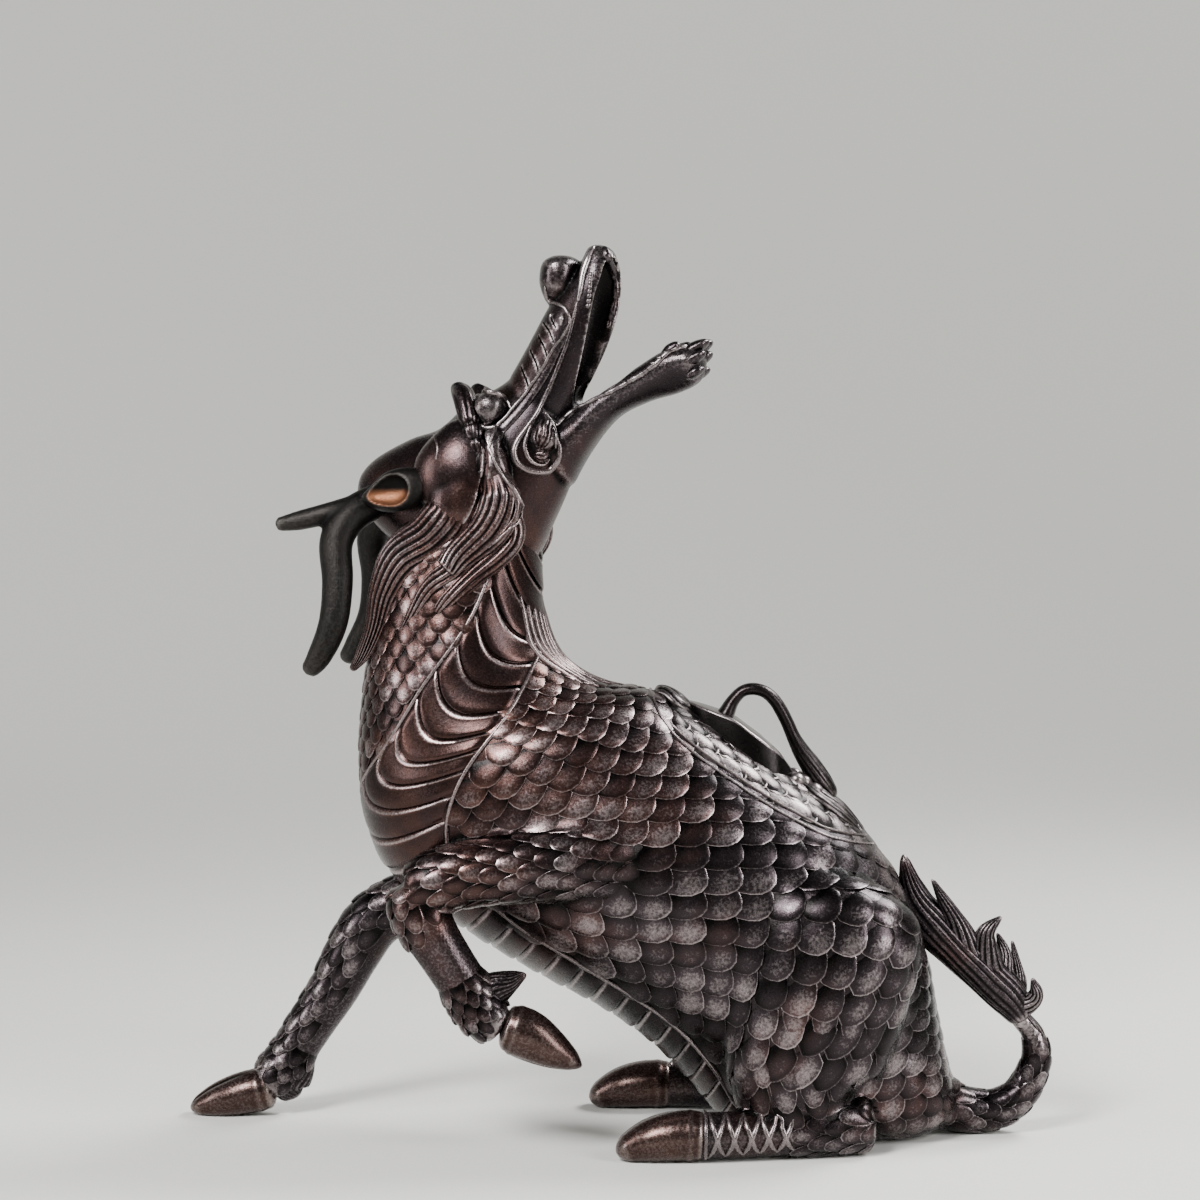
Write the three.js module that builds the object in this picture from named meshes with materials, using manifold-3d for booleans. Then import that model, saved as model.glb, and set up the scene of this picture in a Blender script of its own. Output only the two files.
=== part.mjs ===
// A cast bronze qilin censer. The beast sits on its haunches with one forefoot raised, and its head is
// thrown back with the jaws open. The trunk is hollow, and a scaled lid with a loop handle closes its back.
// Millimetres, +Z up. The beast faces -X, and its left flank is on the -Y side.
import * as THREE from "three";
import { mergeVertices } from "three/addons/utils/BufferGeometryUtils.js";
import Module from "manifold-3d";

// Driving dimensions.
const FIGURE_HEIGHT = 400;
const WALL = 4.5; // thickness of the cast trunk and of the lid
const LID_GAP = 0.5; // seam between the lid's edge and the rim that it rests on
const FLANGE_THICKNESS = 2.2; // the lid's inner lip, which keeps it from sliding down the sloping back
const FLANGE_DEPTH = 5; // how far the lip reaches below the seam
const FLANGE_CLEARANCE = 0.6; // between the lip and the inside of the rim
const HANDLE_WIDTH = 1.3; // of the loop's bar, as a share of its depth
const SCALE_RISE = 1.3; // how far a scale's tip stands out of the skin
const PLATE_RISE = 1.6; // step from one throat or belly plate to the next
const HEAD_TURN = THREE.MathUtils.degToRad(15); // the muzzle swings this far towards the left flank

// The pose below is given at a height of 400, and grows with the figure.
const POSE_HEIGHT = 400;
const GROW = FIGURE_HEIGHT / POSE_HEIGHT;

const wasm = await Module();
wasm.setup();

// A three.js geometry as a closed solid, with its faces pointing out.
function solid(geometry, merge = 1e-4) {
  const bare = new THREE.BufferGeometry().setAttribute("position", geometry.getAttribute("position"));
  bare.setIndex(geometry.index);
  const merged = mergeVertices(bare, merge);
  const corners = [];
  for (let i = 0; i < merged.index.count; i += 3) {
    const [a, b, c] = [0, 1, 2].map((k) => merged.index.getX(i + k));
    if (a !== b && b !== c && c !== a) corners.push(a, b, c);
  }
  const made = (order) =>
    new wasm.Manifold(
      new wasm.Mesh({
        numProp: 3,
        vertProperties: new Float32Array(merged.attributes.position.array),
        triVerts: new Uint32Array(order),
      }),
    );
  const first = made(corners);
  if (first.volume() > 0) return first;
  const turned = [];
  for (let i = 0; i < corners.length; i += 3) turned.push(corners[i], corners[i + 2], corners[i + 1]);
  return made(turned);
}

const joined = (solids) => solids.reduce((whole, next) => whole.add(next));

// Smooth values through a list of number lists, read at t from 0 to 1.
function through(lists) {
  const curves = [];
  const width = lists[0].length;
  for (let i = 0; i < width; i += 3) {
    const points = lists.map((l) => new THREE.Vector3(l[i], l[i + 1] ?? 0, l[i + 2] ?? 0));
    curves.push(new THREE.CatmullRomCurve3(points, false, "catmullrom", 0.5));
  }
  return (t) => curves.flatMap((c) => c.getPoint(t).toArray()).slice(0, width);
}

// A closed form with oval sections. sectionAt(t) gives its centre, its half-depth vector and its
// half-width vector. cap is the share of the length that is rounded off at each end.
function sweep(sectionAt, { rows = 10, sides = 10, cap = [0.08, 0.08], capRows = 2, relief } = {}) {
  const geometry = new THREE.SphereGeometry(1, sides, rows);
  const position = geometry.getAttribute("position");
  for (let row = 0; row <= rows; row++) {
    let t;
    let full = 1;
    const fromEnd = rows - row;
    if (row < capRows) {
      const turn = ((row / capRows) * Math.PI) / 2;
      t = cap[0] * (1 - Math.cos(turn));
      full = Math.sin(turn);
    } else if (fromEnd < capRows) {
      const turn = ((fromEnd / capRows) * Math.PI) / 2;
      t = 1 - cap[1] * (1 - Math.cos(turn));
      full = Math.sin(turn);
    } else {
      const share = (row - capRows) / (rows - 2 * capRows);
      t = THREE.MathUtils.lerp(cap[0], 1 - cap[1], share);
    }
    const { centre, depth, width } = sectionAt(t);
    for (let side = 0; side <= sides; side++) {
      const angle = ((side % sides) / sides) * 2 * Math.PI;
      const spoke = depth.clone().multiplyScalar(Math.cos(angle));
      spoke.addScaledVector(width, Math.sin(angle));
      const rise = relief ? relief(t, angle, row, side % sides) : 0;
      spoke.multiplyScalar(full * (1 + rise / Math.max(spoke.length(), 1)));
      spoke.add(centre);
      position.setXYZ(row * (sides + 1) + side, spoke.x, spoke.y, spoke.z);
    }
  }
  return geometry;
}

// A limb from stations of [x, y, z, half-depth, half-width]. The half-width lies along Y as far as it can.
function limb(stations, options) {
  const at = through(stations.map((s) => [...s, 0]));
  const point = (t) => new THREE.Vector3(...at(THREE.MathUtils.clamp(t, 0, 1)).slice(0, 3));
  const sectionAt = (t) => {
    const [x, y, z, deep, wide] = at(t);
    const along = point(t + 0.01).sub(point(t - 0.01)).normalize();
    const across = new THREE.Vector3(0, 1, 0).addScaledVector(along, -along.y).normalize();
    const outward = new THREE.Vector3().crossVectors(across, along);
    return {
      centre: new THREE.Vector3(x, y, z),
      depth: outward.multiplyScalar(Math.max(deep, 0.4)),
      width: across.multiplyScalar(Math.max(wide, 0.4)),
    };
  };
  return sweep(sectionAt, options);
}

// A form between two outlines seen from the side, from stations of
// [outline x, outline z, other outline x, other outline z, half-width], moved in by inset all round.
function between(stations, options, inset = 0) {
  const at = through(stations.map((s) => [...s, 0]));
  const sectionAt = (t) => {
    const [px, pz, qx, qz, wide] = at(t);
    const depth = new THREE.Vector3((px - qx) / 2, 0, (pz - qz) / 2);
    const half = depth.length();
    return {
      centre: new THREE.Vector3((px + qx) / 2, 0, (pz + qz) / 2),
      depth: depth.multiplyScalar(Math.max(half - inset, 0.5) / half),
      width: new THREE.Vector3(0, Math.max(wide - inset, 0.5), 0),
    };
  };
  return sweep(sectionAt, options);
}

const mirrorY = (geometry) => geometry.clone().applyMatrix4(new THREE.Matrix4().makeScale(1, -1, 1));
const scaled = (geometry) => geometry.applyMatrix4(new THREE.Matrix4().makeScale(GROW, GROW, GROW));

// The torso runs from the throat down the neck and back to the tail. Each station gives the outline on
// the back, the outline on the chest and belly, and the half-width.
const TORSO = [
  [-38, 283, -92, 288, 26],
  [-36, 260, -104, 262, 29],
  [-35, 237, -110, 234, 32],
  [-27, 216.5, -115, 202, 37],
  [-9, 205, -117, 174, 43],
  [15, 201, -114.5, 147, 49],
  [34, 191, -103, 120.5, 52],
  [56, 178.5, -70, 95, 54],
  [77, 164, -37, 75, 55],
  [96, 151.5, -9, 60, 55],
  [112, 136, 14, 44, 54],
  [127, 113, 32, 26, 51],
  [137, 86, 46, 10, 46],
  [143, 56, 68, 0, 40],
  [149, 28, 105, -1, 31],
  [154, 12, 138, -1, 16],
];

// Where the middle of the throat and belly plates lies round the torso, and how far they reach to
// either side. The band starts under the chin, turns round the left of the neck and runs down the belly.
const PLATE_BAND = [
  [-15, 44],
  [-22, 44],
  [-38, 42],
  [-76, 34],
  [-108, 32],
  [-150, 42],
  [-172, 46],
  [-180, 44],
  [-180, 42],
  [-180, 40],
  [-180, 40],
  [-180, 38],
  [-180, 34],
  [-180, 30],
  [-180, 26],
  [-180, 22],
];

const plateBandAt = through(PLATE_BAND.map(([middle, reach]) => [middle, reach, 0]));

// Scales are raised points in a staggered lattice, and the plates are steps that cross their band.
function torsoRelief(t, angle, row, side) {
  const [middle, reach] = plateBandAt(t);
  let off = THREE.MathUtils.radToDeg(angle) - middle;
  off -= 360 * Math.round(off / 360);
  if (Math.abs(off) < reach) return row % 2 ? PLATE_RISE : 0;
  return (row + side) % 2 ? SCALE_RISE : -SCALE_RISE / 2;
}

const TORSO_MESH = { rows: 32, sides: 22, cap: [0.03, 0.03], capRows: 1 };
const HOLLOW_MESH = { rows: 11, sides: 12, cap: [0.05, 0.08], capRows: 2 };
const HOLLOW_FROM = 4; // the hollow starts at this torso station, in the chest, and the neck is solid
const HOLLOW_TO = 13;

function torso() {
  return solid(scaled(between(TORSO, { ...TORSO_MESH, relief: torsoRelief })));
}

// The room inside the trunk, moved in from its skin by a whole wall and a little more.
function hollow(extra) {
  const trunk = TORSO.slice(HOLLOW_FROM, HOLLOW_TO + 1);
  const inset = (WALL + extra) / GROW;
  return solid(scaled(between(trunk, HOLLOW_MESH, inset)));
}

// Each thigh is a broad oval on the flank, with its own scales.
const THIGH = [
  [98, 36, 124, 22, 14],
  [94, 37, 107, 39, 22],
  [88, 37, 84, 42, 25],
  [84, 38, 58, 38, 24],
  [80, 40, 34, 32, 20],
  [86, 40, 16, 22, 14],
];
const bumps = (t, angle, row, side) => ((row + side) % 2 ? SCALE_RISE : 0);
const THIGH_MESH = { rows: 9, sides: 13, cap: [0.12, 0.1], capRows: 2, relief: bumps };

// The hind shanks lie on the ground in front of the haunches.
const HIND_SHANK = [
  [112, 39, 13.5, 12, 11],
  [92, 43, 12.5, 12, 11],
  [62, 48, 11, 10.5, 10],
  [32, 52, 10.5, 10.5, 10],
  [27, 52, 10, 10, 9.5],
];
const HIND_HOOF = [
  [36, 52, 10, 10.5, 10.5],
  [22, 52, 10, 10.5, 11],
  [9, 52, 7, 8.5, 9],
  [-2, 52, 3, 4, 5],
];
const FAR_FOOT_AHEAD = 12; // the right hind foot is set this far in front of the left one

// The right foreleg is stretched forward to the ground, and the left one is raised and bent.
const RIGHT_FORELEG = [
  [-64, 18, 124, 20, 14],
  [-88, 25, 106, 14, 13],
  [-111, 29, 94, 13.5, 12.5],
  [-122, 32, 79, 13, 12],
  [-132, 34, 60, 11.6, 11],
  [-141, 35, 46, 10.8, 10.2],
  [-150, 36, 32, 10.4, 10],
  [-157.5, 36, 20.5, 10.5, 10.5],
  [-167, 36, 12, 8, 9],
];
const RIGHT_FORE_HOOF = [
  [-165, 36, 10.5, 9, 10],
  [-176, 36, 9.5, 9.5, 10.5],
  [-189, 36, 6, 7.5, 9],
  [-200, 36, 2.5, 3, 4.5],
];
const RIGHT_FORE_SPUR = [
  [-153, 36, 24, 8, 5],
  [-150, 36, 14, 6, 4],
  [-148.5, 36, 4.5, 2, 2],
];
const LEFT_UPPER_ARM = [
  [20, -30, 140, 18, 18],
  [-2, -42, 133, 20, 16],
  [-28, -49, 129.5, 15.5, 15],
  [-55, -52, 127, 14, 13.5],
  [-76, -53, 124, 13.5, 13],
  [-92, -53, 118, 11, 12],
];
const LEFT_FOREARM = [
  [-90, -53, 122, 12, 12],
  [-87, -52.5, 108, 13, 12],
  [-79, -52, 94, 11.5, 11],
  [-69, -51, 78, 11, 10.5],
  [-61, -50, 65, 11, 10.5],
  [-51, -50, 58, 8.5, 9],
];
const LEFT_FORE_HOOF = [
  [-54, -50, 59, 8.5, 9],
  [-43, -50, 54, 10, 10.5],
  [-31, -50, 48, 7.5, 9],
  [-17, -50, 41, 2.5, 4],
];
const LEFT_FORE_SPUR = [
  [-60, -50, 74, 6, 6],
  [-51, -50, 79, 5, 4.5],
  [-42, -50, 81, 1.5, 2],
];

const LIMB_MESH = { rows: 8, sides: 8, cap: [0.06, 0.05], relief: bumps };
const HOOF_MESH = { rows: 6, sides: 8, cap: [0.1, 0.12] };
const SPUR_MESH = { rows: 5, sides: 6, cap: [0.1, 0.1], capRows: 1 };

function legs() {
  const forms = [
    limb(RIGHT_FORELEG, { ...LIMB_MESH, rows: 12 }),
    limb(RIGHT_FORE_HOOF, HOOF_MESH),
    limb(RIGHT_FORE_SPUR, SPUR_MESH),
    limb(LEFT_UPPER_ARM, LIMB_MESH),
    limb(LEFT_FOREARM, LIMB_MESH),
    limb(LEFT_FORE_HOOF, HOOF_MESH),
    limb(LEFT_FORE_SPUR, SPUR_MESH),
  ];
  for (const side of [-1, 1]) {
    const ahead = side > 0 ? -FAR_FOOT_AHEAD : 0;
    const placed = (stations) => stations.map(([x, y, ...rest]) => [x + ahead, y * side, ...rest]);
    const thigh = THIGH.map(([x, y, ...rest]) => [x, y * side, ...rest]);
    forms.push(limb(thigh, THIGH_MESH), limb(placed(HIND_SHANK), LIMB_MESH));
    forms.push(limb(placed(HIND_HOOF), HOOF_MESH));
  }
  return forms.map((f) => solid(scaled(f)));
}

// The tail comes out at the ground, curls up, and ends in a flame of locks laid against the rump.
const TAIL = [
  [138, 0, 17, 14, 14],
  [152, 0, 11.5, 11, 11],
  [167, 0, 10, 9.4, 9],
  [179, 0, 15, 8.2, 8],
  [187, 0, 27, 7.2, 7],
  [189, 0, 38, 6.4, 6.4],
  [186, 0, 47, 5, 5],
  [180, 0, 54, 5, 5.5],
];
const TAIL_FLAME = [
  [183, 0, 50, 4.5, 5],
  [176, 0, 62, 9, 7],
  [165, 0, 73, 9.5, 8],
  [152, 0, 84, 9, 8],
  [141, 0, 95, 9.5, 7.5],
  [133, 0, 108, 7, 6],
  [128, 0, 127, 1.5, 2],
];
// Each lock of the flame: its root, its bend and its tip in x and z, and its half-thickness at the root.
const FLAME_LOCKS = [
  [[152, 80], [145, 97], [141.5, 114], 8],
  [[160, 72], [163, 88], [174, 97], 7.5],
  [[168, 64], [172, 77], [180, 86], 6.5],
  [[174, 59], [181, 64], [188.5, 71.5], 6],
  [[180, 54], [188, 54], [192.5, 64], 5],
  [[141, 90], [136, 106], [131, 121], 7],
];

function tail() {
  const forms = [
    limb(TAIL, { rows: 14, sides: 8, cap: [0.04, 0.04] }),
    limb(TAIL_FLAME, { rows: 9, sides: 8, cap: [0.05, 0.03] }),
  ];
  FLAME_LOCKS.forEach(([root, bend, tip, thick], i) => {
    const lean = i % 2 ? 1.5 : -1.5; // neighbouring locks part a little
    const stations = [
      [root[0], 0, root[1], thick, thick],
      [bend[0], lean, bend[1], thick * 0.75, thick * 0.8],
      [tip[0], lean * 2, tip[1], 0.8, 1],
    ];
    forms.push(limb(stations, { rows: 5, sides: 6, cap: [0.1, 0.04], capRows: 1 }));
  });
  return forms.map((f) => solid(scaled(f)));
}

// The head is modelled in its own upright plane through the neck, and then turned.
const HEAD_AXIS_X = -60;

function turnHead(geometry) {
  const stretch = new THREE.Matrix4().makeScale(1 / Math.cos(HEAD_TURN), 1, 1);
  const turn = new THREE.Matrix4().makeRotationZ(-HEAD_TURN);
  const move = new THREE.Matrix4().makeTranslation(HEAD_AXIS_X, 0, 0);
  return geometry.applyMatrix4(move.multiply(turn).multiply(stretch));
}

const SKULL = [
  [-61, 293, -55, 281, 7],
  [-51, 306, -42, 268, 15],
  [-33, 318, -26, 254, 21],
  [-19, 323, 0, 247, 25],
  [-6, 333, 20, 258, 25],
  [5, 337, 30, 277, 22],
  [13, 343, 38, 296, 18],
  [18, 351, 42, 316, 14],
];
const UPPER_JAW = [
  [9, 338, 30, 312, 17],
  [16, 350, 39, 323, 15],
  [22, 361, 46, 338, 14],
  [27, 373, 54, 355, 14],
  [30, 384, 59, 371, 14],
  [35, 392, 59.5, 387, 12],
  [44, 400, 55, 400, 5],
];
// The hollow of the upper jaw, between its two lips, which stand out beyond the palate.
const PALATE = [
  [48, -2, 322, 10, 8],
  [53, -3, 342, 14, 9],
  [57, -4, 361, 15, 10],
  [60, -4, 378, 14, 10],
  [62, -3, 395, 10, 6],
];
const LOWER_JAW = [
  [22, 322, 36, 288, 16],
  [35, 325, 46, 305, 14],
  [50, 336, 60, 322, 12],
  [66, 345, 73, 332, 11.5],
  [80, 355, 87, 337, 12],
  [90, 360, 97, 344, 12],
  [99, 359, 100, 350, 8],
];
const TONGUE_BED = [
  [38, 336, 42, 326, 8],
  [50, 346, 55, 334, 7],
  [66, 355, 70, 343, 7],
  [82, 365, 86, 350, 8],
  [91, 368, 94, 357, 6],
];
const NOSE_BULB = [
  [29, 0, 374, 6, 9],
  [35.5, 0, 384, 10, 13],
  [41, 0, 393, 8, 11],
];
// The rest is given for the left side of the head, and mirrored.
const EYE = [
  [1, -15, 330, 5, 5],
  [7, -18, 328, 8, 8],
  [13, -15, 325, 5, 5],
];
const BROW = [
  [-8, -10, 336.5, 3.5, 5],
  [-5, -19, 331, 4, 5],
  [1, -24, 316, 4, 4],
  [6, -25, 302, 3, 3],
  [6, -25, 288, 2, 2],
];
const EAR = [
  [-23, -21, 293, 3, 4],
  [-26, -24, 293, 7.5, 6],
  [-32, -26, 291.5, 9, 6.5],
  [-40, -26, 289, 6.5, 6],
  [-48.5, -25, 288, 1.5, 2.5],
];
const EAR_CUP = [
  [-25, -31, 293.5, 3.5, 4],
  [-32, -33, 291.5, 6.3, 5.5],
  [-43, -32, 288.8, 2.6, 3.5],
];
const HORN = [
  [-40, -10, 292, 5, 6],
  [-47, -17, 286, 7.6, 7.5],
  [-55, -24, 279, 7.8, 7.5],
  [-59, -29, 268, 7.4, 7],
  [-57, -33, 251, 6.8, 6.6],
  [-58, -36, 233, 6.4, 6.2],
  [-64, -37, 218, 5.4, 5.4],
  [-70, -37, 210, 3.6, 3.6],
];
const FAR_HORN_BACK = [0, 0, -1, -3, -5, -7, -9, -9]; // the right horn sweeps back a little more
const HORN_PRONG = [
  [-50, -22, 284, 6.5, 6],
  [-64, -26, 281, 5, 5],
  [-76, -29, 278, 4.4, 4.4],
  [-86, -31, 276, 3, 3],
];
const CHEEK_LOCK = [
  [-6, -18, 318, 9, 8],
  [-5, -23, 300, 12, 8],
  [-7, -26, 284, 12, 7],
  [-16, -28, 272, 11, 6],
  [-29, -29, 262, 10, 6],
  [-37, -28, 247, 7.5, 5],
  [-42, -26, 231, 5, 4],
  [-48, -25, 219, 3.5, 3],
  [-54, -24, 211, 1.4, 1.4],
];
const JAW_LOCK = [
  [8, -19, 318, 4, 6],
  [10, -24, 303, 7, 6],
  [14, -26, 288, 9, 6],
  [10, -28, 275, 9, 6],
  [-3, -31, 263, 7, 5],
  [-13, -33, 251, 5.5, 4.5],
  [-21, -33, 239, 3.5, 3.5],
  [-29, -32, 229, 1.2, 1.4],
];
const BARBEL = [
  [34, -11, 376, 1.8, 2.4],
  [37, -14, 364, 2, 2.4],
  [33, -16, 351, 2, 2.4],
  [26, -18, 339, 2, 2.4],
  [18, -20, 329, 2, 2.4],
  [10, -22, 320, 2.2, 2.6],
  [9, -24, 312, 2.4, 2.8],
  [14, -25, 303, 2.4, 2.8],
  [20, -25, 294, 2.2, 2.6],
  [22, -24, 284, 1.4, 1.8],
];
const LIP = [
  [47, -9, 396, 2.4, 2],
  [48, -13, 384, 3, 2.2],
  [44, -14, 370, 2.6, 2.2],
  [39, -15, 354, 2.6, 2.4],
  [34, -16, 341, 2.6, 2.6],
  [27, -18, 327, 3, 3],
  [20, -19, 315, 3, 3],
  [20, -20, 306, 3, 3],
  [27, -20, 301, 3, 3],
  [36, -18, 305, 2.6, 3],
];
const MOUTH_CORNER = [
  [30, -12, 321, 4, 5],
  [30, -16, 315, 6, 5],
  [31, -13, 308, 4, 5],
];

function head() {
  const whole = (geometry) => solid(scaled(turnHead(geometry)));
  const middle = [
    between(SKULL, { rows: 10, sides: 12, cap: [0.08, 0.06] }),
    between(UPPER_JAW, { rows: 9, sides: 10, cap: [0.06, 0.05] }),
    between(LOWER_JAW, { rows: 9, sides: 10, cap: [0.06, 0.05] }),
    limb(NOSE_BULB, { rows: 6, sides: 10, cap: [0.45, 0.45] }),
  ];
  const sides = [
    limb(EYE, { rows: 6, sides: 6, cap: [0.35, 0.35] }),
    limb(BROW, { rows: 6, sides: 5, cap: [0.05, 0.05], capRows: 1 }),
    limb(HORN_PRONG, { rows: 4, sides: 5, cap: [0.05, 0.05], capRows: 1 }),
    limb(CHEEK_LOCK, { rows: 9, sides: 6, cap: [0.06, 0.02], capRows: 1 }),
    limb(JAW_LOCK, { rows: 7, sides: 6, cap: [0.06, 0.02], capRows: 1 }),
    limb(BARBEL, { rows: 7, sides: 4, cap: [0.02, 0.02], capRows: 1 }),
    limb(LIP, { rows: 7, sides: 4, cap: [0.02, 0.02], capRows: 1 }),
    limb(MOUTH_CORNER, { rows: 4, sides: 5, cap: [0.3, 0.3], capRows: 1 }),
  ];
  const farHorn = HORN.map(([x, y, ...rest], i) => [x + FAR_HORN_BACK[i], -y, ...rest]);
  const horns = [HORN, farHorn].map((stations) => limb(stations, { rows: 8, sides: 6, cap: [0.04, 0.04] }));
  const hollows = [
    limb(PALATE, { rows: 8, sides: 8, cap: [0.1, 0.1] }),
    between(TONGUE_BED, { rows: 7, sides: 8, cap: [0.1, 0.1] }),
  ].map(whole);
  const ears = [limb(EAR, { rows: 6, sides: 7, cap: [0.1, 0.06] })];
  const cups = [limb(EAR_CUP, { rows: 5, sides: 6, cap: [0.2, 0.2] })];
  const both = (forms) => forms.flatMap((f) => [whole(mirrorY(f)), whole(f)]);
  const jaws = joined(middle.map(whole));
  const carved = hollows.reduce((left, h) => left.subtract(h), jaws);
  const cupped = both(cups).reduce((left, c) => left.subtract(c), joined(both(ears)));
  return joined([carved, cupped, ...horns.map(whole), ...both(sides)]);
}

// The seam of the lid, seen from the side. It runs through from flank to flank.
const SEAM = [
  [13, 204],
  [16, 196.5],
  [20, 190],
  [26, 183],
  [35, 175.5],
  [47, 167],
  [58, 159.5],
  [70, 152],
  [81, 146],
  [92, 140.5],
  [111, 135],
  [130, 130],
];
const SEAM_REACH = 140; // past both flanks

// Everything above the seam, moved up by lift, as a block that the trunk is cut with.
function aboveSeam(lift) {
  const line = new THREE.SplineCurve(SEAM.map(([x, z]) => new THREE.Vector2(x * GROW, z * GROW + lift)));
  const shape = new THREE.Shape(line.getPoints(12));
  const [front, back] = [SEAM[0], SEAM[SEAM.length - 1]];
  shape.lineTo(back[0] * GROW, front[1] * GROW + SEAM_REACH);
  shape.lineTo(front[0] * GROW, front[1] * GROW + SEAM_REACH);
  const block = new THREE.ExtrudeGeometry(shape, { depth: 2 * SEAM_REACH, bevelEnabled: false, steps: 1 });
  // The shape's plane becomes XZ, and its depth runs along Y.
  block.translate(0, 0, -SEAM_REACH).rotateX(Math.PI / 2);
  return solid(block);
}

// The loop handle springs from the leaf and runs down the crest behind it, from stations of
// [x, z, half-depth of the bar].
const HANDLE = [
  [48.5, 184, 4.5],
  [49.5, 195, 3.4],
  [51, 198, 2.8],
  [55, 201, 2.5],
  [60, 202, 2.7],
  [65.3, 200.6, 2.8],
  [69.5, 197, 2.8],
  [72.8, 192, 2.9],
  [75.8, 186, 3],
  [78.4, 180, 3.1],
  [82, 173.5, 3.5],
  [86.4, 167, 3.8],
  [91, 160, 3.8],
  [96, 154, 2.5],
];
// The leaf stands up from the crest as a thick plate with steep walls. Its top is given from the side as
// [x, z], and its outline from above as [x, half-width].
const LEAF_TOP = [
  [32, 196.5],
  [42, 193],
  [51, 189.5],
  [58, 184.5],
  [66, 178.5],
  [74, 171.5],
  [82, 157],
];
const LEAF_OUTLINE = [
  [32, 4],
  [38, 11],
  [50, 14.5],
  [62, 14],
  [73, 9],
  [82, 1],
];
const LEAF_FOOT = 20; // the leaf's walls start this far under its top, inside the lid

function leaf() {
  const fore = LEAF_TOP.map(([x, z]) => new THREE.Vector2(x, z));
  const back = LEAF_TOP.map(([x, z]) => new THREE.Vector2(x, z - LEAF_FOOT)).reverse();
  const side = new THREE.ExtrudeGeometry(new THREE.Shape([...fore, ...back]), {
    depth: 60,
    bevelEnabled: false,
    steps: 1,
  });
  side.translate(0, 0, -30).rotateX(Math.PI / 2);
  const edge = LEAF_OUTLINE.map(([x, y]) => new THREE.Vector2(x, y));
  const otherEdge = LEAF_OUTLINE.map(([x, y]) => new THREE.Vector2(x, -y)).reverse();
  const plan = new THREE.ExtrudeGeometry(new THREE.Shape([...edge, ...otherEdge]), {
    depth: 300,
    bevelEnabled: false,
    steps: 1,
  });
  return solid(scaled(side)).intersect(solid(scaled(plan)));
}

function lidFittings() {
  const bar = HANDLE.map(([x, z, half]) => [x, 0, z, half, half * HANDLE_WIDTH]);
  const loop = solid(scaled(limb(bar, { rows: 17, sides: 8, cap: [0.03, 0.03] })));
  return [loop, leaf()];
}

function lid(shell) {
  const shut = shell.intersect(aboveSeam(LID_GAP / 2));
  const crown = shut.subtract(hollow(0));
  const lip = hollow(FLANGE_CLEARANCE)
    .subtract(hollow(FLANGE_CLEARANCE + FLANGE_THICKNESS))
    .intersect(aboveSeam(-FLANGE_DEPTH))
    .subtract(aboveSeam(WALL));
  // A web joins the lip to the crown just above the seam.
  const web = hollow(-WALL / 2)
    .subtract(hollow(FLANGE_CLEARANCE + FLANGE_THICKNESS))
    .intersect(aboveSeam(LID_GAP / 2))
    .subtract(aboveSeam(WALL));
  const fittings = joined(lidFittings()).subtract(hollow(0)).intersect(aboveSeam(LID_GAP / 2));
  return joined([crown, lip, web.intersect(shut), fittings]);
}

const GROUND_REACH = 1.5 * FIGURE_HEIGHT; // the box that keeps what is above the ground holds all of it

function aboveGround() {
  const box = new THREE.BoxGeometry(2 * GROUND_REACH, 2 * GROUND_REACH, 2 * GROUND_REACH);
  return solid(box.translate(0, 0, GROUND_REACH));
}

function figure(shell) {
  const trunk = joined([shell, ...legs(), ...tail()]);
  const open = trunk.subtract(hollow(0)).subtract(aboveSeam(-LID_GAP / 2));
  // Legs that reach into the trunk are cut back to its inner wall with it.
  return open.add(head()).intersect(aboveGround());
}

// A cut through the relief leaves splinters beside a body and thin slivers along its edges. This keeps
// the largest body, with its corners closer than MERGE made one and its slivers taken out. The sliver
// sizes are tried in turn, until the body doesn't touch itself along an edge.
const SLIVERS = [0.1, 0.09, 0.08, 0.07, 0.06, 0.05, 0.04, 0.03];
const MERGE = 0.002;

function tidied(whole) {
  const largest = (m) => m.decompose().reduce((best, next) => (next.volume() > best.volume() ? next : best));
  let made;
  for (const sliver of SLIVERS) {
    const first = toGeometry(largest(whole).simplify(sliver));
    made = toGeometry(largest(solid(first, MERGE)));
    if (!touchesItself(made)) break;
  }
  return made;
}

// Whether any edge is shared by more than its two faces once corners at the same place are one.
function touchesItself(geometry) {
  const { index } = mergeVertices(geometry.clone(), MERGE / 4);
  const uses = new Map();
  for (let i = 0; i < index.count; i += 3) {
    const face = [index.getX(i), index.getX(i + 1), index.getX(i + 2)];
    face.forEach((a, k) => {
      const b = face[(k + 1) % 3];
      const edge = a < b ? `${a} ${b}` : `${b} ${a}`;
      uses.set(edge, (uses.get(edge) ?? 0) + 1);
    });
  }
  return [...uses.values()].some((n) => n > 2);
}

function toGeometry(whole) {
  const { vertProperties, triVerts } = whole.getMesh();
  const geometry = new THREE.BufferGeometry();
  geometry.setAttribute("position", new THREE.BufferAttribute(new Float32Array(vertProperties), 3));
  geometry.setIndex(new THREE.BufferAttribute(new Uint32Array(triVerts), 1));
  return geometry;
}

const bronze = new THREE.MeshStandardMaterial({
  name: "bronze",
  color: 0x4a352e,
  roughness: 0.42,
  metalness: 0.9,
  flatShading: true,
});
const lidBronze = bronze.clone();
lidBronze.name = "lid_bronze";
lidBronze.color.set(0x6b5750);

function named(name, whole, material) {
  const mesh = new THREE.Mesh(tidied(whole), material);
  mesh.geometry.computeVertexNormals();
  mesh.name = name;
  return mesh;
}

const shell = torso();
const qilin = new THREE.Group();
qilin.name = "qilin_censer";
qilin.add(named("figure", figure(shell), bronze));
qilin.add(named("lid", lid(shell), lidBronze));

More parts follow.
